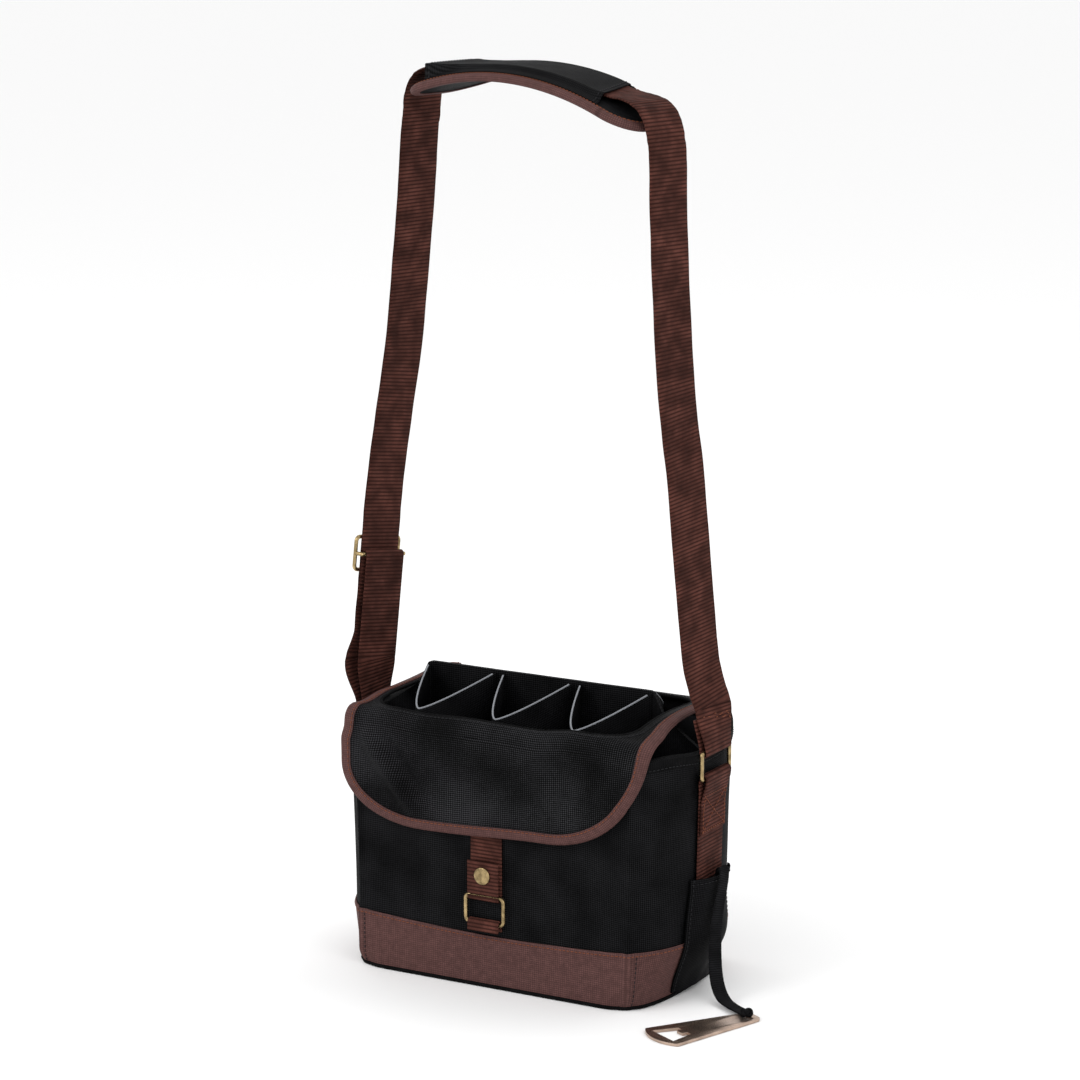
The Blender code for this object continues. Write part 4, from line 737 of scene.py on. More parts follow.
def make_band():
    """The brown foot of the bag, its top edge turned under and sewn, with a seam down each front corner."""
    rows, rings = 10, []
    for i in range(AROUND):
        top = band_top(i)
        places = [(BAND_FOOT, 0.0004), (BAND_FOOT, 0.0012)]
        places += [(BAND_FOOT + (top - 0.0035) * k / rows, BAND_OUT) for k in range(1, rows)]
        places += [(top - 0.0012, 0.0016), (top, 0.0011), (top, 0.0004)]
        rings.append([shell_point(i, z, out) for z, out in places])
    girth = runs_of([ring[0] for ring in rings])
    points, faces, _ = skin(rings, True)
    uvs = [(run, p.z) for run, ring in zip(girth, rings) for p in ring]
    put(finished("foot_band", "band", points, faces, uvs), "root", "band",
        "base_band_front", "base_band_back", "base_band_left", "base_band_right")
    sew("root", [shell_point(i, band_top(i) - 0.0022, 0.0017) for i in range(AROUND)], closed=True)
    for i in (CORNERS[0] + 3, CORNERS[1] + 4):
        sew("root", [shell_point(i, 0.004 + 0.034 * k / 12, 0.0017) for k in range(13)], "black_thread")


# Cells

MOUTH_POWER, MOUTH_HALF_WIDTH, MOUTH_END, POCKET_CLOTH = 1.43, 0.028, 0.2102, 0.0012

# Distances from the middle and the divider's top there
DIVIDER_TOP = ((0.092, 0.212), (0.1005, 0.195), (0.1305, 0.174))
DIVIDER_HALF_WIDTH, DIVIDER_CLOTH = 0.1305, 0.0032


def divider_top(x):
    return float(np.interp(abs(x), *zip(*DIVIDER_TOP)))


def pocket_line(centre, face, openness, steps):
    """A pocket wall's outline, from its closed mouth to the round cell below."""
    start, end, radius, straight_from = 0.0027, CELL_DEPTH, CELL_RADIUS, 0.62
    outline = []
    for i in range(steps + 1):
        share = 2 * i / steps - 1
        away = abs(share)
        if away < straight_from:
            angle = math.pi / 2 * share / straight_from
            round_x, round_y = radius * math.sin(angle), end - radius + radius * math.cos(angle)
        else:
            run = (away - straight_from) / (1 - straight_from)
            round_x = math.copysign(radius, share)
            round_y = end - radius + (start - end + radius) * run
        mouth_x, mouth_y = MOUTH_HALF_WIDTH * share, start + (end - start) * (1 - away**MOUTH_POWER)
        x, y = mouth_x + (round_x - mouth_x) * openness, mouth_y + (round_y - mouth_y) * openness
        outline.append(Vector((centre + x, face * y, 0)))
    return outline


def build_cells():
    columns, rows = 96, 24

    def divider(i, j, side):
        share = 2 * i / columns - 1
        z = CELL_FLOOR + (divider_top(share * DIVIDER_HALF_WIDTH) - CELL_FLOOR) * j / rows
        x = share * (side_half_width(0, min(z, 0.17)) - 0.0068)
        return Vector((x, side * DIVIDER_CLOTH / 2 + 0.0006 * noise.noise(Vector((x * 30, 0, z * 30))), z))

    cloth = grid_cloth("divider_cloth", "cloth", divider, (-1, 1), columns, rows)
    put(cloth, "root", "cloth", "cross_divider")
    for row, face, vertex_top in (("front", -1, 0.1935), ("rear", 1, 0.182)):
        for column, centre in (("left", -CELL_PITCH), ("middle", 0), ("right", CELL_PITCH)):
            make_pocket(f"{row}_{column}", centre, face, vertex_top)


def make_pocket(name, centre, face, vertex_top):
    """One pocket of cloth that hangs open, with a pale edging along its mouth."""
    steps, rows = 48, 30
    mouth_from = vertex_top * 0.62
    layers = []
    for j in range(rows + 1):
        z = CELL_FLOOR + (vertex_top - CELL_FLOOR) * j / rows
        outline = pocket_line(centre, face, 1 - eased((z - mouth_from) / (vertex_top - mouth_from)), steps)
        ways = []
        for i in range(steps + 1):
            along = (outline[min(i + 1, steps)] - outline[max(i - 1, 0)]).normalized()
            ways.append(Vector((-along.y, along.x, 0)))
        lifts = (POCKET_CLOTH / 2, -POCKET_CLOTH / 2)
        layers.append([[p + way * lift for p, way in zip(outline, ways)] for lift in lifts])

    def at(i, j, side):
        place = layers[j][side][i].copy()
        top = vertex_top + (MOUTH_END - vertex_top) * abs(2 * i / steps - 1) ** MOUTH_POWER
        place.z = CELL_FLOOR + (top - CELL_FLOOR) * j / rows
        return place

    wall = grid_cloth(f"pocket_{name}", "cloth", at, (0, 1), steps, rows)
    put(wall, "root", "cloth", f"pocket_wall_{name}")
    rim = [at(i, rows, 0).lerp(at(i, rows, 1), 0.5) + Vector((0, 0, 0.0007)) for i in range(1, steps)]
    edging = wire(f"edging_{name}", "edging", rim, 0.00065, closed=False, sides=8)
    put(edging, "root", "edging", f"pocket_edging_{name}")


# Lid

REAR_TOP, FRONT_RISE, CROWN, REAR_END, REAR_FOLD, FRONT_FOLD = 0.1915, 0.0045, 0.005, 0.184, 0.006, 0.009


def lid_top(y):
    share = (LID_REAR_Y - y) / (LID_REAR_Y - LID_FRONT_Y)
    return REAR_TOP + FRONT_RISE * share + CROWN * (1 - (2 * share - 1) ** 2)


def lid_profile():
    """The lid's outer face from its rear end, over the top and down the front, every few millimetres."""
    first, last = LID_REAR_Y - REAR_FOLD, LID_FRONT_Y + FRONT_FOLD
    profile = [(LID_REAR_Y, REAR_END)]
    profile += list(arc(first, lid_top(first) - REAR_FOLD, REAR_FOLD, 0, 90, 8))
    profile += [(y, lid_top(y)) for y in (first + (last - first) * i / 60 for i in range(1, 60))]
    start = lid_top(last) - FRONT_FOLD
    profile += list(arc(last, start, FRONT_FOLD, 90, 180, 12))
    profile += [(LID_FRONT_Y, start + (LID_HEM_Z - start) * i / 40) for i in range(1, 41)]
    return [Vector((0, y, z)) for y, z in profile]


LID_LINE = lid_profile()
LID_RUN = runs_of(LID_LINE)
LID_LENGTH = LID_RUN[-1]


def place_on(path, runs, run):
    """The point at a length along a path, and the index of the path's point before it."""
    k = min(max(int(np.searchsorted(runs, run)) - 1, 0), len(path) - 2)
    return path[k].lerp(path[k + 1], (run - runs[k]) / (runs[k + 1] - runs[k])), k


def lid_frame(s):
    """The lid's line at a length along it, and the way out there."""
    place, k = place_on(LID_LINE, LID_RUN, min(max(s, 0), LID_LENGTH))
    along = (LID_LINE[min(k + 2, len(LID_LINE) - 1)] - LID_LINE[max(k - 1, 0)]).normalized()
    return place, Vector((0, along.z, -along.y))


def along_pairs(value, pairs):
    """A smooth curve through pairs of a rising value and a result, level at each pair."""
    for (a, p), (b, q) in zip(pairs, pairs[1:]):
        if value <= b:
            return p + (q - p) * eased((value - a) / (b - a))
    return pairs[-1][1]


def run_at_depth(y):
    """Length along the lid's line from its rear end to a depth on its top."""
    return float(np.interp(-y, [-place.y for place in LID_LINE], LID_RUN))


def run_at_height(z):
    """Length along the lid's line to a height on its front."""
    return LID_LENGTH - (z - LID_HEM_Z)


# Where the lid's loose right edge hangs over the corner, as depth and height
HANG_FROM, HANG_TO, HANG_INSIDE = run_at_depth(0.030), run_at_height(0.148), 0.082
HANG = smooth_path([(0, y, z) for y, z in (
    (0.030, 0.1968), (0.008, 0.1972), (-0.011, 0.1966), (-0.0295, 0.1933), (-0.051, 0.188), (-0.0635, 0.1815),
    (-0.0705, 0.172), (-0.0745, 0.160), (-0.0752, 0.148))], 12)
HANG_RUN = runs_of(HANG)

# Places across the lid, and how far the window's front rim drops there
RIM_DROP = ((-0.122, -0.0046), (-0.081, -0.0037), (-0.052, -0.0049), (-0.022, -0.0041), (0.006, -0.0043),
            (0.037, -0.0049), (0.066, -0.0020), (0.092, -0.0020), (0.122, -0.0011))

# Wrinkles of the lid's front: two ends as width and height, half width, and rise
CREASES = (
    ((-0.106, 0.186), (-0.054, 0.120), 0.0060, 0.0062), ((-0.092, 0.186), (-0.042, 0.127), 0.0055, -0.0030),
    ((0.060, 0.188), (0.104, 0.142), 0.008, 0.0022), ((0.040, 0.186), (0.086, 0.136), 0.009, -0.0012),
    ((-0.020, 0.190), (0.012, 0.150), 0.006, 0.0014))

# Lengths along the lid and its edges' distance from the middle; size of its round front corners
RIGHT_EDGE = ((0, 0.114), (run_at_depth(0.008), 0.116), (run_at_depth(-0.0295), 0.117),
              (run_at_depth(-0.055), 0.1195), (run_at_height(0.180), 0.1215), (run_at_height(0.140), 0.118))
LEFT_EDGE = ((0, 0.114), (run_at_depth(-0.055), 0.114), (run_at_height(0.1835), 0.117),
             (run_at_height(0.172), 0.1195))
LEFT_CORNER, RIGHT_CORNER = (0.065, 0.042), (0.070, 0.062)


def lid_edges(s):
    """The lid's left and right edges at a length along it."""
    halves = []
    for edge, (wide, high) in ((LEFT_EDGE, LEFT_CORNER), (RIGHT_EDGE, RIGHT_CORNER)):
        share = max(1 - (LID_LENGTH - s) / high, 0)
        halves.append(along_pairs(s, edge) - wide * (1 - math.sqrt(max(1 - share**2, 0))))
    return -halves[0], halves[1]


def lid_sag(x, s, place):
    """How far the soft lid hangs from its plain shape: its rim, its left top, its right corner, its hem."""
    hem = -0.0023 + 0.0025 * math.tanh(x / 0.04)
    rim = along_pairs(x, RIM_DROP)
    if place.y > LID_FRONT_Y + 0.001:
        drop = rim * eased((-0.030 - place.y) / 0.035)
    else:
        drop = rim + (hem - rim) * eased((0.188 - place.z) / 0.0735)
    if x < 0 and place.z > 0.188:
        drop -= 0.0064 * max(1 - ((place.y + 0.012) / 0.058) ** 2, 0) * eased((-x - 0.086) / 0.028)
    sag = Vector((0, 0, drop))
    if x > HANG_INSIDE and HANG_FROM < s < HANG_TO:
        hung, _ = place_on(HANG, HANG_RUN, (s - HANG_FROM) / (HANG_TO - HANG_FROM) * HANG_RUN[-1])
        share = min((x - HANG_INSIDE) / (lid_edges(s)[1] - HANG_INSIDE), 1.05) ** 1.6
        sag = sag.lerp(hung - place, share)
    return sag


def crease(x, z, start, end, width, rise):
    """How far one wrinkle lifts the cloth at a place."""
    (x0, z0), (x1, z1) = start, end
    length = math.hypot(x1 - x0, z1 - z0)
    ax, az = (x1 - x0) / length, (z1 - z0) / length
    along, off = (x - x0) * ax + (z - z0) * az, (x - x0) * -az + (z - z0) * ax
    fade = eased(along / (0.3 * length)) * eased((length - along) / (0.3 * length))
    return rise * math.exp(-((off / width) ** 2)) * fade


def lid_point(x, s, lift=0.0):
    """A point of the lid by its place on the flat cloth, above its outer face by a lift."""
    place, out = lid_frame(s)
    swell = 0.0
    if place.z < 0.186 and place.y < 0:
        front = eased((LID_LENGTH - s) / 0.012) if place.y < LID_FRONT_Y + 0.004 else 0
        swell += 0.0022 * (1 - (x / 0.125) ** 2) * front
        swell += ripple((x, 0, place.z), 26, 0.0016, 3.0) * eased((0.19 - place.z) / 0.015)
        for wrinkle in CREASES:
            swell += crease(x, place.z, *wrinkle)
    elif s > 0.02:
        swell += ripple((x, place.y, 0), 24, 0.0010, 5.0)
    return place + Vector((x, 0, 0)) + out * (lift + swell) + lid_sag(x, s, place)


def lid_rows(parts, even, fine):
    """Lengths along the lid: even steps, then finer ones toward its round front corners."""
    rows = [LID_LENGTH * k / parts for k in range(even)]
    rest = LID_LENGTH - rows[-1]
    return rows + [rows[-1] + rest * math.sin(math.pi / 2 * k / fine) for k in range(1, fine + 1)]


def build_lid():
    rows, columns = lid_rows(130, 118, 14), 110

    def flat(i, j):
        left, right = lid_edges(rows[j])
        return left + (right - left) * i / columns, rows[j]

    def face(i, j, lift):
        return lid_point(*flat(i, j), lift)

    flap = grid_cloth("lid_cloth", "lid_cloth", face, (0, -LID_THICKNESS), columns, len(rows) - 1, flat)
    outline = rounded_rectangle(WINDOW_HALF_WIDTH, WINDOW_HALF_DEPTH, WINDOW_CORNER, 10)
    window = [(x, WINDOW_MIDDLE + y) for x, y in outline]
    carve(flap, [prism("window_cutter", "cloth", window, lambda *place: Vector(place), 0.180, 0.215)])
    put(flap, "lid", "cloth", "lid_flap")
    lengths = [LID_LENGTH * k / 400 for k in range(401)]
    depths = [-lid_frame(s)[0].y for s in lengths]

    def over(x, y, lift):
        return lid_point(x, float(np.interp(-y, depths, lengths)), lift)

    hem = divided(window, 0.004)
    rim = put(wire("window_hem", "binding", [over(x, y, -0.0009) for x, y in hem], 0.0013, sides=8), "lid")
    seam = [over(x * 1.045, WINDOW_MIDDLE + (y - WINDOW_MIDDLE) * 1.05, 0.0002) for x, y in hem]
    sew("lid", seam, "black_thread", closed=True)
    edge_tape = make_lid_binding()
    widths = [right - left for left, right in map(lid_edges, rows)]
    cut = sum((b - a) * (v + w) / 2 for a, b, v, w in zip(rows, rows[1:], widths, widths[1:]))

    def strip(i, j, y):
        return Vector((-0.1037 + 0.2074 * i / 40, y, 0.1603 + 0.0218 * j / 6))

    put(grid_cloth("seam_strip", "cloth", strip, (0.0730, 0.0714), 40, 6), "root", "cloth", "lid_seam_strip")
    for z in (0.1640, 0.1795):
        sew("root", straight((-0.102, 0.0732, z), (0.102, 0.0732, z), 60), "black_thread")


def make_lid_binding():
    """Brown tape folded over the lid's edge: down the left side, round the bottom and up the right."""
    rows = lid_rows(90, 78, 24)
    edge = [(lid_edges(s)[0], s) for s in rows]
    left, right = lid_edges(LID_LENGTH)
    edge += [(left + (right - left) * k / 44, LID_LENGTH) for k in range(1, 44)]
    edge += [(lid_edges(s)[1], s) for s in reversed(rows)]
    section = ((0.0075, 0.0002), (0.0073, 0.0009), (0.0040, 0.0012), (0.0006, 0.0010), (-0.0006, 0.0),
               (-0.0009, -0.0009), (-0.0006, -0.0018), (0.0006, -0.0026), (0.0073, -0.0025),
               (0.0075, -0.0019), (0.0002, -0.0019), (0.0002, 0.0001))
    rings, seam = [], []
    for k in range(len(edge)):
        inside, ring = beside(edge, k, False, lid_point), []
        for off, lift in section:
            if off < 0:
                rim = lid_point(*edge[k], lift)
                ring.append(rim + (rim - inside(0.002, lift)).normalized() * -off)
            else:
                ring.append(inside(off, lift))
        rings.append(ring)
        seam.append(inside(0.0060, 0.0013))
    tape = put(skinned("lid_edge_tape", "band", rings), "lid", "band", "lid_binding")
    sew("lid", seam)
    return tape


# Closure

def wrap(bar_z, leg_back, leg_front, way, thickness):
    """The closure webbing's line up or down behind the ring, round one of its bars and back in front."""
    reach = RING_WIRE + WEB_GAP + thickness / 2
    profile = [(CLOSURE_Y + reach, leg_back + (bar_z - leg_back) * k / 14) for k in range(14)]
    profile += list(arc(CLOSURE_Y, bar_z, reach, 0, 180 * way, 14))
    return profile + [(CLOSURE_Y - reach, bar_z + (leg_front - bar_z) * k / 6) for k in range(1, 7)]


def build_closure(sizes):
    middle = (CLOSURE_LOW + CLOSURE_HIGH) / 2
    outline = rounded_rectangle(*CLOSURE_RING, 8)
    ring = [Vector((CLOSURE_X + a, CLOSURE_Y, middle + b)) for a, b in outline]
    put(wire("closure_loop", "brass", ring, RING_WIRE), "root", "brass", "closure_ring")
    thick = sizes.web_thickness
    for name, profile, body, node in (
        ("closure_webbing", wrap(CLOSURE_HIGH, 0.149, 0.0682, -1, thick), "root", "closure_strap"),
        ("keeper_webbing", wrap(CLOSURE_LOW, 0.0424, 0.0424, 1, thick), "root", "ring_keeper"),
        ("tab_webbing", [(TAB_Y, TAB_LOW + TAB_RISE * k / 12) for k in range(13)], "tab", "snap_tab"),
    ):
        path = [Vector((CLOSURE_X, y, z)) for y, z in profile]
        made = web(name, "webbing", path, lambda _: Vector((1, 0, 0)), sizes.closure_width, thick)
        put(made, body, "webbing", node)
    centre = Vector((CLOSURE_X, TAB_Y - thick / 2 - 0.0002, 0.0834))
    profile = [(0.0062, 0.0), (0.0063, 0.0006)]
    profile += [(0.0063 * math.cos(a), 0.0006 + 0.0013 * math.sin(a))
                for a in (math.radians(9 * k) for k in range(1, 8))]
    profile += [(0.0022, 0.00178), (0.0017, 0.0016), (0.0003, 0.0016)]
    rings = []
    for radius, rise in profile:
        rings.append([centre + Vector((radius * math.cos(a), -rise, radius * math.sin(a)))
                      for a in (2 * math.pi * k / 32 for k in range(32))])
    put(skinned("snap_button", "brass", rings), "tab", "brass", "snap_cap")


# Side rings and anchors

def build_sides(sizes):
    thick, wide = sizes.web_thickness, sizes.strap_width
    outline = rounded_rectangle(*SIDE_RING, 8)
    middle = (SIDE_RING_LOW + SIDE_RING_HIGH) / 2
    for face, name in ((-1, "left"), (1, "right")):
        path = [Vector((face * SIDE_RING_X, a, middle + b)) for a, b in outline]
        put(wire(f"{name}_ring", "brass", path, SIDE_RING_WIRE), "root", "brass", f"side_ring_{name}")
        path = smooth_path([Vector((face * x, 0, z)) for x, z in anchor_profile(thick)], 2)
        anchor = web(f"{name}_anchor", "webbing", path, lambda _: Vector((0, 1, 0)), wide, thick)
        put(anchor, "root", "webbing", f"side_anchor_{name}")
        half, low, high = wide / 2 - 0.003, 0.120, 0.146
        corners = [(-half, low), (half, low), (half, high), (-half, high)]
        for start, end in zip(corners + corners[:2], corners[1:] + corners[:1] + corners[2:]):
            sew("root", [(face * anchor_face(z), y, z) for y, z in straight(start, end, 8)])


def anchor_profile(thick):
    """The anchor's line up the side, round the ring's lower bar and down again, as width and height."""
    reach = SIDE_RING_WIRE + WEB_GAP + thick / 2
    low, high = 0.0445, 0.150
    rising = [low + (high - low) * k / 20 for k in range(21)]
    profile = [(side_half_width(0, z) + 0.0010, z) for z in rising]
    profile += [(SIDE_RING_X - reach - 0.0006, 0.1545), (SIDE_RING_X - reach, SIDE_RING_LOW)]
    profile += list(arc(SIDE_RING_X, SIDE_RING_LOW, reach, 180, 0, 12))[1:]
    profile += [(SIDE_RING_X + reach - 0.0004, 0.1545), (SIDE_RING_X + 0.0001, 0.147), (0.1388, 0.140)]
    return profile + [(side_half_width(0, z) + 0.0027, z) for z in (0.134, 0.128, 0.122, 0.118)]


def anchor_face(z):
    """Distance of the anchor's outer face from the middle, for its stitches."""
    return side_half_width(0, z) + 0.0036 + 0.0009 * eased((z - 0.134) / 0.012)


# Shoulder strap

WEB_WAY = Vector((math.sin(TWIST), math.cos(TWIST), 0))


def arch_place(out, z):
    """A place in the strap's arch, which turns with height."""
    turn = TWIST * min(max((z - STRAP_JOIN) / (TWIST_TOP - STRAP_JOIN), 0), 1)
    return Vector((out * math.cos(turn), -out * math.sin(turn), z))


def arc_place(degrees, radius=ARC_RADIUS):
    angle = math.radians(degrees)
    return arch_place(ARC_OUT + radius * math.sin(angle), ARC_CENTRE + radius * math.cos(angle))


def leg(start, run):
    """Points up one leg of the strap from its join."""
    return [arch_place(start * share, STRAP_JOIN + (ARC_FOOT - STRAP_JOIN) * up) for up, share in run]


def left_points():
    """The left leg's points, straight from its join to past the slider."""
    points = leg(-LEFT_START, LEFT_RUN)
    for i in range(1, 4):
        points[i] = points[0].lerp(points[4], LEFT_RUN[i][0] / LEFT_RUN[4][0])
    return points


def strap_path():
    """The strap's middle line from its right join, over the pad, to its left join."""
    crest = [arc_place(degrees, ARC_RADIUS * share) for degrees, share in CREST]
    return smooth_path(leg(RIGHT_START, RIGHT_RUN) + crest + left_points()[::-1], 8)


BOW_LOW, BOW_RISE, BOW_OUT = 0.1785, 0.0515, 0.0058


def left_bow(place):
    """The left leg's slack below its slider, where the webbing bows away from the bag."""
    share = min(max((place.z - BOW_LOW) / BOW_RISE, 0), 1)
    return place - Vector((BOW_OUT * math.sin(math.pi * share) ** 1.4, 0, 0)) if place.x < 0 else place


def build_strap(sizes):
    thick, wide = sizes.web_thickness, sizes.strap_width
    path = [left_bow(place) for place in strap_path()]
    ends = (0, len(path) - 1)
    run = web("shoulder_webbing", "webbing", path, lambda _: WEB_WAY, wide, thick, ends, 0.0002)
    put(run, "strap", "webbing", "strap_run")
    start, drop = leg(RIGHT_START, RIGHT_RUN)[0], Vector((0, 0, -0.0002))
    lap = start - Vector((thick + 0.0006, 0, 0.0075))
    loop_end("right_loop", 1, start + drop, lap, thick, wide, "strap_end_right")
    rim = start + Vector((thick / 2 + 0.0007, 0, 0))
    teeth = [(-0.0155 + 0.031 * k / 10, 0.0052 * (k % 2)) for k in range(11)]
    sew("loop", [rim + Vector((0.0004, 0, -0.0105 + rise)) + WEB_WAY * across for across, rise in teeth])
    points = left_points()
    up = (points[4] - points[0]).normalized()
    across = (WEB_WAY - up * WEB_WAY.dot(up)).normalized()
    inward = up.cross(across)
    if inward.x < 0:
        inward = -inward
    step = 2 * thick + 0.0009 + 2 * SLIDER_WIRE
    begin = points[0] + inward * step
    begin.z = points[0].z
    loop_end("left_loop", -1, points[0] + drop, begin + drop, thick, wide, "strap_end_left")
    reach = SLIDER_WIRE + WEB_GAP + thick / 2
    middle = points[0].lerp(points[4], (SLIDER_HEIGHT - points[0].z) / (points[4].z - points[0].z))
    bar = middle + inward * (step - reach)
    path = [begin.lerp(bar + inward * reach, i / 24) for i in range(24)]
    path += [bar + (inward * math.cos(a) + up * math.sin(a)) * reach
             for a in (math.radians(15 * k) for k in range(13))]
    path += [bar - inward * reach - up * (0.022 * k / 8) for k in range(1, 9)]
    back = web("return_webbing", "webbing", path, lambda _: across, wide, thick, (0,))
    put(back, "strap", "webbing", "strap_return")
    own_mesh(back)
    build_slider(middle, up, across, inward, step)


def between_ring_and_strap(made):
    """Bake into its points the place of a piece that lies between the fixed ring and the swinging strap."""
    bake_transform(made)


def loop_end(name, face, joins, lap, thick, wide, node):
    """One end of the strap, from its join down round the side ring's upper bar and up to its lap."""
    reach = SIDE_RING_WIRE + WEB_GAP + thick / 2
    centre = Vector((face * SIDE_RING_X, 0, SIDE_RING_HIGH))
    aside = Vector((face * reach, 0, 0))
    path = [left_bow(joins.lerp(centre + aside, k / 10)) for k in range(10)]
    path += [Vector((centre.x + face * a, 0, b)) for a, b in arc(0, SIDE_RING_HIGH, reach, 0, -180, 14)]
    path += [(centre - aside).lerp(lap, k / 10) for k in range(1, 11)]

    def way(i):
        turn = TWIST * eased((path[i].z - SIDE_RING_HIGH) / (joins.z - SIDE_RING_HIGH))
        return Vector((math.sin(turn), math.cos(turn), 0))

    made = web(name, "webbing", path, way, wide, thick, (0, len(path) - 1))
    between_ring_and_strap(made)
    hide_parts(node)


def build_slider(middle, up, across, inward, step):
    """The slider's wire frame outside the strap, and its bar through the return webbing's bend."""
    off = 0.0007 + WEB_GAP
    outside = middle - inward * (off + SLIDER_WIRE)
    inside = middle + inward * (step - SLIDER_WIRE - off)
    half_w, half_l = SLIDER_WIDTH / 2 - SLIDER_WIRE, SLIDER_LENGTH / 2 - SLIDER_WIRE
    outline = rounded_rectangle(half_w, half_l, 0.0033, 8)
    loop = wire("slider_frame", "brass", [outside + across * a + up * b for a, b in outline], SLIDER_WIRE)
    put(loop, "slider_body", "brass", "slider")
    bend = [outside, outside.lerp(inside, 0.5), inside]
    path = [p - across * half_w for p in bend] + [p + across * half_w for p in reversed(bend)]
    put(wire("slider_bar", "brass", path, SLIDER_WIRE * 0.98, closed=False), "slider_body", "brass")


# Shoulder pad

PAD_HALF_LENGTH = math.radians(PAD_DEGREES) * (PAD_UNDER + PAD_EDGE / 2)


def pad_half_width(share):
    left = PAD_HALF_LENGTH * (1 - abs(share))
    if left >= PAD_CORNER:
        return PAD_HALF_WIDTH
    return PAD_HALF_WIDTH - PAD_CORNER + math.sqrt(max(PAD_CORNER**2 - (PAD_CORNER - left) ** 2, 0))


def pad_top(along, share):
    """Radius of the pad's crowned top at shares of its half length and half width."""
    crown = (1 - min(abs(share), 1) ** 4) * (1 - min(abs(along), 1) ** 6)
    return PAD_UNDER + PAD_EDGE + (PAD_THICKNESS - PAD_EDGE) * crown


def build_pad():
    columns, rows = 36, 120

    def face(i, j, top):
        along, share = math.sin(math.pi / 2 * (2 * j / rows - 1)), 2 * i / columns - 1
        radius = pad_top(along, share) if top else PAD_UNDER
        place = arc_place(PAD_MIDDLE + PAD_DEGREES * along, radius)
        place += WEB_WAY * (share * pad_half_width(along))
        soft = ripple(place, 45, 0.0007, 7.0) * (1 - abs(share) ** 4) * (1 - abs(along) ** 6)
        return place - Vector((0, 0, soft)) if top else place + Vector((0, 0, soft * 1.4))

    pad = grid_cloth("pad_cushion", "cloth", face, (True, False), columns, rows)
    put(pad, "pad", "cloth", "shoulder_pad")
    make_pad_tape()
    make_sleeve()


def make_pad_tape():
    """Brown tape folded over the pad's edge and sewn."""
    path = divided(rounded_rectangle(PAD_HALF_LENGTH, PAD_HALF_WIDTH, PAD_CORNER, 10), 0.004)
    section = ((-0.0035, 0.0048), (-0.0033, 0.0055), (-0.0014, 0.0051), (0.0003, 0.0043), (0.0012, 0.0030),
               (0.0012, 0.0009), (0.0003, -0.0003), (-0.0048, -0.0006), (-0.0050, -0.0002), (-0.0004, 0.0001),
               (0.0002, 0.0016), (-0.0004, 0.0036))
    scale = math.degrees(1 / (PAD_UNDER + PAD_EDGE / 2))

    def place(a, b, lift):
        return arc_place(PAD_MIDDLE + a * scale, PAD_UNDER + lift) + WEB_WAY * b

    rings, seam = [], []
    for k in range(len(path)):
        outside = beside(path, k, True, place)
        rings.append([outside(off, lift) for off, lift in section])
        seam.append(outside(-0.0026, 0.0056))
    put(skinned("pad_edge_tape", "band", rings, True), "pad", "band", "pad_binding")
    sew("pad", seam, closed=True)


def crest_pairs():
    """Degrees along the pad's arc and the strap's middle line's distance from the arc's centre there."""
    pairs = []
    for place in strap_path():
        out = place.x * math.cos(TWIST) - place.y * math.sin(TWIST) - ARC_OUT
        rise = place.z - ARC_CENTRE
        if rise > 0.2:
            pairs.append((math.degrees(math.atan2(out, rise)), math.hypot(out, rise)))
    pairs = sorted(pair for pair in pairs if abs(pair[0]) < 21)
    return [a for a, _ in pairs], [r for _, r in pairs]


def make_sleeve():
    """Black cloth sewn to the pad along both sides, with the strap passing under it."""
    columns, rows, half = 44, 90, 0.0296
    right, left = (19.3, 15.2), (-15.1, -16.8)
    turns, distances = crest_pairs()
    slides = [PAD_TRAVEL * share for share in (-1, -0.5, 0, 0.5, 1)]

    def face(i, j, lift):
        side = 2 * i / columns - 1
        across, turn = half * side, (side + 1) / 2
        start, end = right[0] + (right[1] - right[0]) * turn, left[0] + (left[1] - left[0]) * turn
        degrees = start + (end - start) * (j / rows)
        along = (degrees - PAD_MIDDLE) / PAD_DEGREES
        lying = pad_top(along, abs(across) / pad_half_width(along)) + 0.0004
        over = max(float(np.interp(degrees + slid, turns, distances)) for slid in slides) + 0.0013
        gather = 0.0202 + 0.6 * max(over - lying - 0.0018, 0)
        share = eased((gather + 0.0035 - abs(across)) / 0.0038)
        radius = lying + (max(over, lying) - lying) * share
        return arc_place(degrees, radius + lift) + WEB_WAY * across

    cover = grid_cloth("pad_sleeve_cloth", "cloth", face, (0.0009, 0.0), columns, rows)
    put(cover, "pad", "cloth", "pad_sleeve")
    for row in (2, rows - 2):
        sew("pad", [face(i, row, 0.0011) for i in range(1, columns)], "black_thread")


# Opener, its pocket and tether

POCKET_LOW, POCKET_RISE = 0.004, 0.083


def pocket_point(share, z, lie):
    """A point of the opener's pocket, swollen by what it holds and hugging the side and the band."""
    v = (z - POCKET_LOW) / POCKET_RISE
    y = share * (0.030 - 0.004 * v + 0.004 * math.sin(math.pi * min(v / 0.9, 1)))
    over_band = 0.0012 * (1 - eased((z - BAND_HEIGHT) / 0.045))
    swell = 0.0095 * (1 - share**2) * (0.45 + 0.55 * v)
    swell += 0.0016 * noise.noise(Vector((share * 2, z * 40, 1.0))) * (1 - share**2)
    swell += 0.0030 * eased((share - 0.35) / 0.5) * eased((v - 0.80) / 0.2)
    return Vector((side_half_width(y, z) + 0.0006 + over_band + swell + lie, y, z))


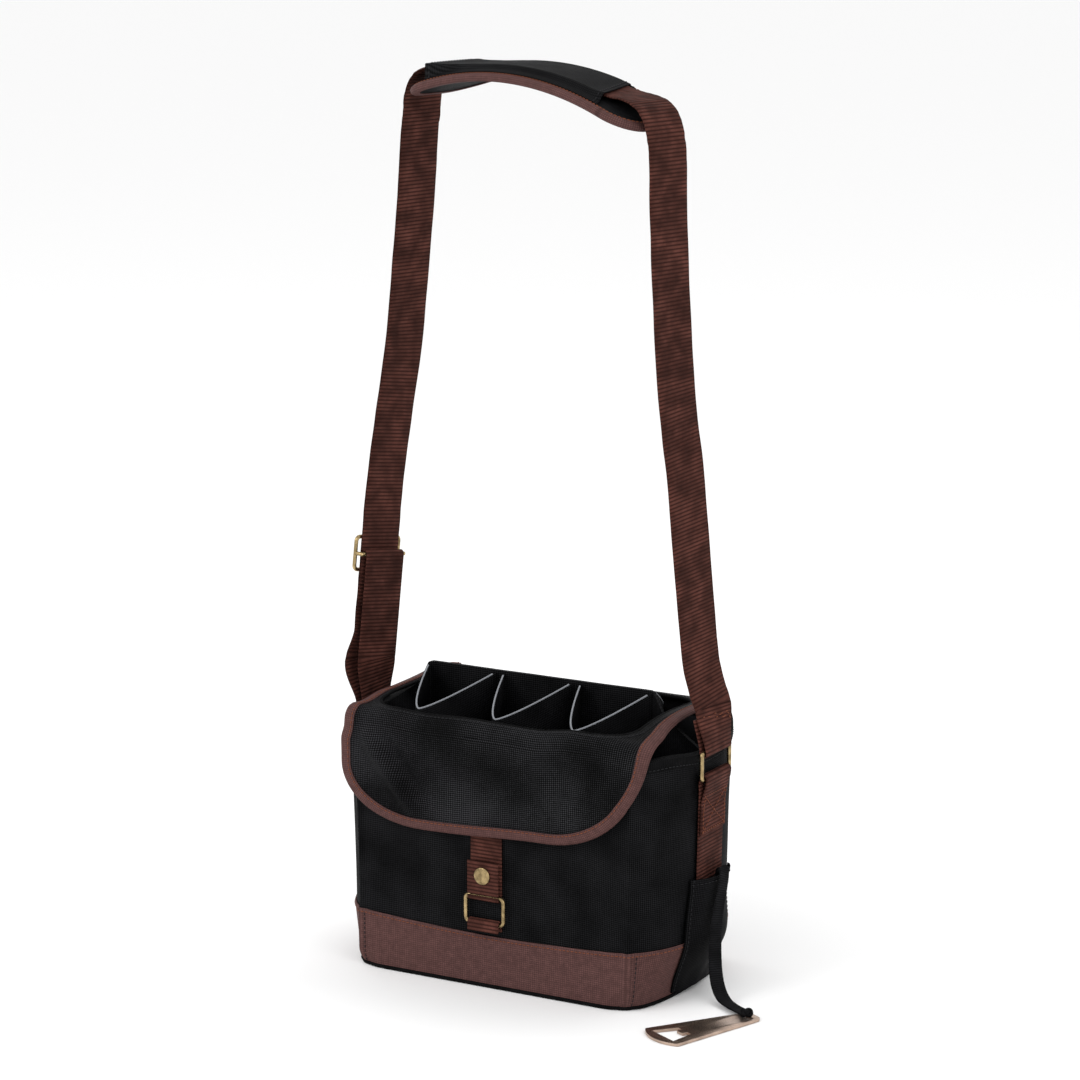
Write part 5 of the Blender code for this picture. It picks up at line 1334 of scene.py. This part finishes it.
def build_pocket():
    def face(i, j, lie):
        return pocket_point(2 * i / 40 - 1, POCKET_LOW + POCKET_RISE * j / 40, lie)

    cloth = grid_cloth("opener_pocket_cloth", "cloth", face, (0.0010, 0.0), 40, 40)
    put(cloth, "root", "cloth", "opener_pocket")
    sew("root", [pocket_point(2 * k / 40 - 1, 0.0835, 0.0012) for k in range(1, 40)], "black_thread")
    for side in (-0.94, 0.94):
        sew("root", [pocket_point(side, 0.006 + 0.080 * k / 20, 0.0012) for k in range(21)], "black_thread")


def build_tether(opener):
    """The opener's tape with a small trefoil knot at the eye."""
    path = smooth_path(TETHER_ROUTE, 4)
    start, end = Vector((0, 1, 0)), Vector((0.87, 0.5, 0))

    def way(i):
        return start.lerp(end, eased(i / (len(path) - 1))).normalized()

    tether = web("tether_tape", "tape", path, way, TAPE_WIDTH, TAPE_THICKNESS)
    put(tether, "root", "tape", "tether")
    turns, knot = [], 0.0011
    for a in (2 * math.pi * k / 60 for k in range(60)):
        along = knot * (math.sin(a) + 2 * math.sin(2 * a))
        across = knot * (math.cos(a) - 2 * math.cos(2 * a))
        turns.append(opener_place(along + 0.001, across, 0.0052 - 0.0012 * math.sin(3 * a)))
    put(wire("tether_knot", "tape", turns, 0.0018, sides=8), "root", "tape")
    runs_of(path)[-1]


def opener_place(along, across, z):
    """A place on the opener as it lies, from its eye toward its mouth."""
    way = Vector((math.cos(OPENER_TURN), math.sin(OPENER_TURN), 0))
    return OPENER_PIVOT + way * along + Vector((-way.y, way.x, 0)) * across + Vector((0, 0, z))


def build_opener():
    start, end, half_end, sagitta = -0.007, 0.079, 0.0195, 0.007
    bow = (half_end**2 + sagitta**2) / (2 * sagitta)
    sweep = math.degrees(math.asin(half_end / bow))
    outline = list(arc(end - bow, 0, bow, -sweep, sweep, 24))
    outline += list(arc(start + 0.005, 0.0035, 0.005, 100, 180, 8))
    outline += list(arc(start + 0.005, -0.0035, 0.005, 180, 260, 8))
    mouth = [(0.053, -0.0075), (0.071, -0.0125), (0.071, 0.0125), (0.053, 0.0075), (0.053, 0.0035),
             (0.057, 0.0035), (0.057, -0.0035), (0.053, -0.0035)]
    eye = rounded_rectangle(0.0015, 0.0055, 0.001, 5)
    plate = prism("opener_plate", "plate", outline, opener_place, 0, 0.002)
    carve(plate, [prism("mouth_cutter", "plate", mouth, opener_place, -0.01, 0.01),
                  prism("eye_cutter", "plate", eye, opener_place, -0.01, 0.01)], rounded=0.0003)
    plate.data.set_sharp_from_angle(angle=math.radians(30))
    return put(plate, "opener_body", "brass", "opener")


# Stage

def stand(name, data, place, turn=(0, 0, 0)):
    """A new object in the scene at a place, turned."""
    made = bpy.data.objects.new(name, data)
    made.location, made.rotation_euler = place, turn
    bpy.context.collection.objects.link(made)
    return made


def build_stage():
    """A pale floor under a white sky, three lamps, and the camera that was fitted to the photo."""
    floor = bpy.data.meshes.new("floor")
    floor.from_pydata([(-30, -30, 0), (30, -30, 0), (30, 30, 0), (-30, 30, 0)], [], [(0, 1, 2, 3)])
    floor.materials.append(Finish("pale_floor", (0.97, 0.97, 0.97), 0.9).material)
    ground = stand("floor", floor, (0, 0, -0.0002))
    world = bpy.data.worlds.new("studio")
    bpy.context.scene.world = world
    world.use_nodes = True
    tree = world.node_tree
    back = tree.nodes["Background"]
    rays = tree.nodes.new("ShaderNodeLightPath")
    seen = tree.nodes.new("ShaderNodeMath")
    seen.operation = "MAXIMUM"
    strength = tree.nodes.new("ShaderNodeMapRange")
    strength.inputs[3].default_value = 0.98
    strength.inputs[4].default_value = 1.0
    back.inputs["Color"].default_value = (1, 1, 1, 1)
    tree.links.new(rays.outputs["Is Camera Ray"], seen.inputs[0])
    tree.links.new(rays.outputs["Is Transmission Ray"], seen.inputs[1])
    tree.links.new(seen.outputs[0], strength.inputs[0])
    tree.links.new(strength.outputs[0], back.inputs["Strength"])
    for name, place, aim, width, power in (
        ("key", (-1.3, -1.9, 1.9), (0, 0, 0.25), 1.3, 26),
        ("fill", (2.2, -1.2, 1.3), (0, 0, 0.3), 1.4, 7),
        ("top", (0.2, 0.9, 2.3), (0, 0, 0.2), 1.2, 9),
    ):
        lamp = bpy.data.lights.new(name, "AREA")
        lamp.energy, lamp.size = power, width
        turn = (Vector(aim) - Vector(place)).to_track_quat("-Z", "Y").to_euler()
        stand(name, lamp, place, turn)
    view = bpy.data.cameras.new("camera")
    view.lens, view.sensor_width = 127.57, 36
    turn = (math.radians(90 - 12.12), 0, math.radians(29.399))
    bpy.context.scene.camera = stand("camera", view, (1.298, -2.304, 0.8785), turn)
    bpy.context.scene.view_settings.view_transform = "Standard"


# Operators and panel

class ToteStep:
    """What the operators share: each builds one group of pieces from the scene's sizes"""

    def execute(self, context):
        self.build(context.scene)
        return {"FINISHED"}


class ToteFinishes(ToteStep, bpy.types.Operator):
    """Make the materials of the tote"""
    bl_idname, bl_label = "tote.finishes", "Finishes"

    def build(self, scene):
        make_finishes(scene.tote_sizes, scene.tote_colours)


class ToteStage(ToteStep, bpy.types.Operator):
    """Add the floor, the lights and the camera"""
    bl_idname, bl_label = "tote.stage", "Stage"

    def build(self, scene):
        build_stage()


class ToteOpener(ToteStep, bpy.types.Operator):
    """Build the opener, its tape tether and its pocket"""
    bl_idname, bl_label = "tote.opener", "Opener and tether"

    def build(self, scene):
        build_tether(build_opener())
        build_pocket()


class ToteShell(ToteStep, bpy.types.Operator):
    """Build the walls, lining, mouth tape and foot band"""
    bl_idname, bl_label = "tote.shell", "Shell"

    def build(self, scene):
        build_shell()


class ToteCells(ToteStep, bpy.types.Operator):
    """Build the divider and its pockets"""
    bl_idname, bl_label = "tote.cells", "Cells"

    def build(self, scene):
        build_cells()


class ToteLid(ToteStep, bpy.types.Operator):
    """Build the lid, its window and its edge tape"""
    bl_idname, bl_label = "tote.lid", "Lid"

    def build(self, scene):
        build_lid()


class ToteClosure(ToteStep, bpy.types.Operator):
    """Build the closure's webbing, ring and snap"""
    bl_idname, bl_label = "tote.closure", "Closure"

    def build(self, scene):
        build_closure(scene.tote_sizes)


class ToteSides(ToteStep, bpy.types.Operator):
    """Build the side rings and their anchors"""
    bl_idname, bl_label = "tote.sides", "Side rings"

    def build(self, scene):
        build_sides(scene.tote_sizes)


class ToteStrap(ToteStep, bpy.types.Operator):
    """Build the shoulder strap and its slider"""
    bl_idname, bl_label = "tote.strap", "Shoulder strap"

    def build(self, scene):
        build_strap(scene.tote_sizes)


class TotePad(ToteStep, bpy.types.Operator):
    """Build the shoulder pad, its edge tape and its sleeve"""
    bl_idname, bl_label = "tote.pad", "Shoulder pad"

    def build(self, scene):
        build_pad()


class ToteStitches(ToteStep, bpy.types.Operator):
    """Set the stitches along every seam that the pieces left"""
    bl_idname, bl_label = "tote.stitches", "Stitches"

    def build(self, scene):
        tree = stitch_tree()
        for (body, thread), runs in STITCH_RUNS.items():
            made = stitches(tree, f"stitches_{body}_{thread}", runs, thread, scene.tote_sizes)
            if body == "loop":
                between_ring_and_strap(made)
            else:
                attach(made, body)


class TotePanel(bpy.types.Panel):
    """Buttons and sizes of the tote"""
    bl_idname = "VIEW3D_PT_tote"
    bl_label = "Cooler tote"
    bl_space_type = "VIEW_3D"
    bl_region_type = "UI"
    bl_category = "Tote"

    def draw(self, context):
        column = self.layout.column()
        for group in (context.scene.tote_sizes, context.scene.tote_colours):
            for name in group.bl_rna.properties.keys():
                if name not in ("rna_type", "name"):
                    column.prop(group, name)
        for step in STEPS:
            column.operator(step.bl_idname)


STEPS = (ToteFinishes, ToteStage, ToteOpener, ToteShell, ToteCells, ToteLid, ToteClosure, ToteSides,
         ToteStrap, TotePad, ToteStitches)
CLASSES = (ToteSizes, ToteColours) + STEPS + (TotePanel,)


def register():
    for kind in CLASSES:
        bpy.utils.register_class(kind)
    bpy.types.Scene.tote_sizes = bpy.props.PointerProperty(type=ToteSizes)
    bpy.types.Scene.tote_colours = bpy.props.PointerProperty(type=ToteColours)


def unregister():
    del bpy.types.Scene.tote_colours
    del bpy.types.Scene.tote_sizes
    for kind in reversed(CLASSES):
        bpy.utils.unregister_class(kind)


def main():
    register()
    for step in STEPS:
        group, name = step.bl_idname.split(".")
        getattr(getattr(bpy.ops, group), name)()


if __name__ == "__main__":
    main()
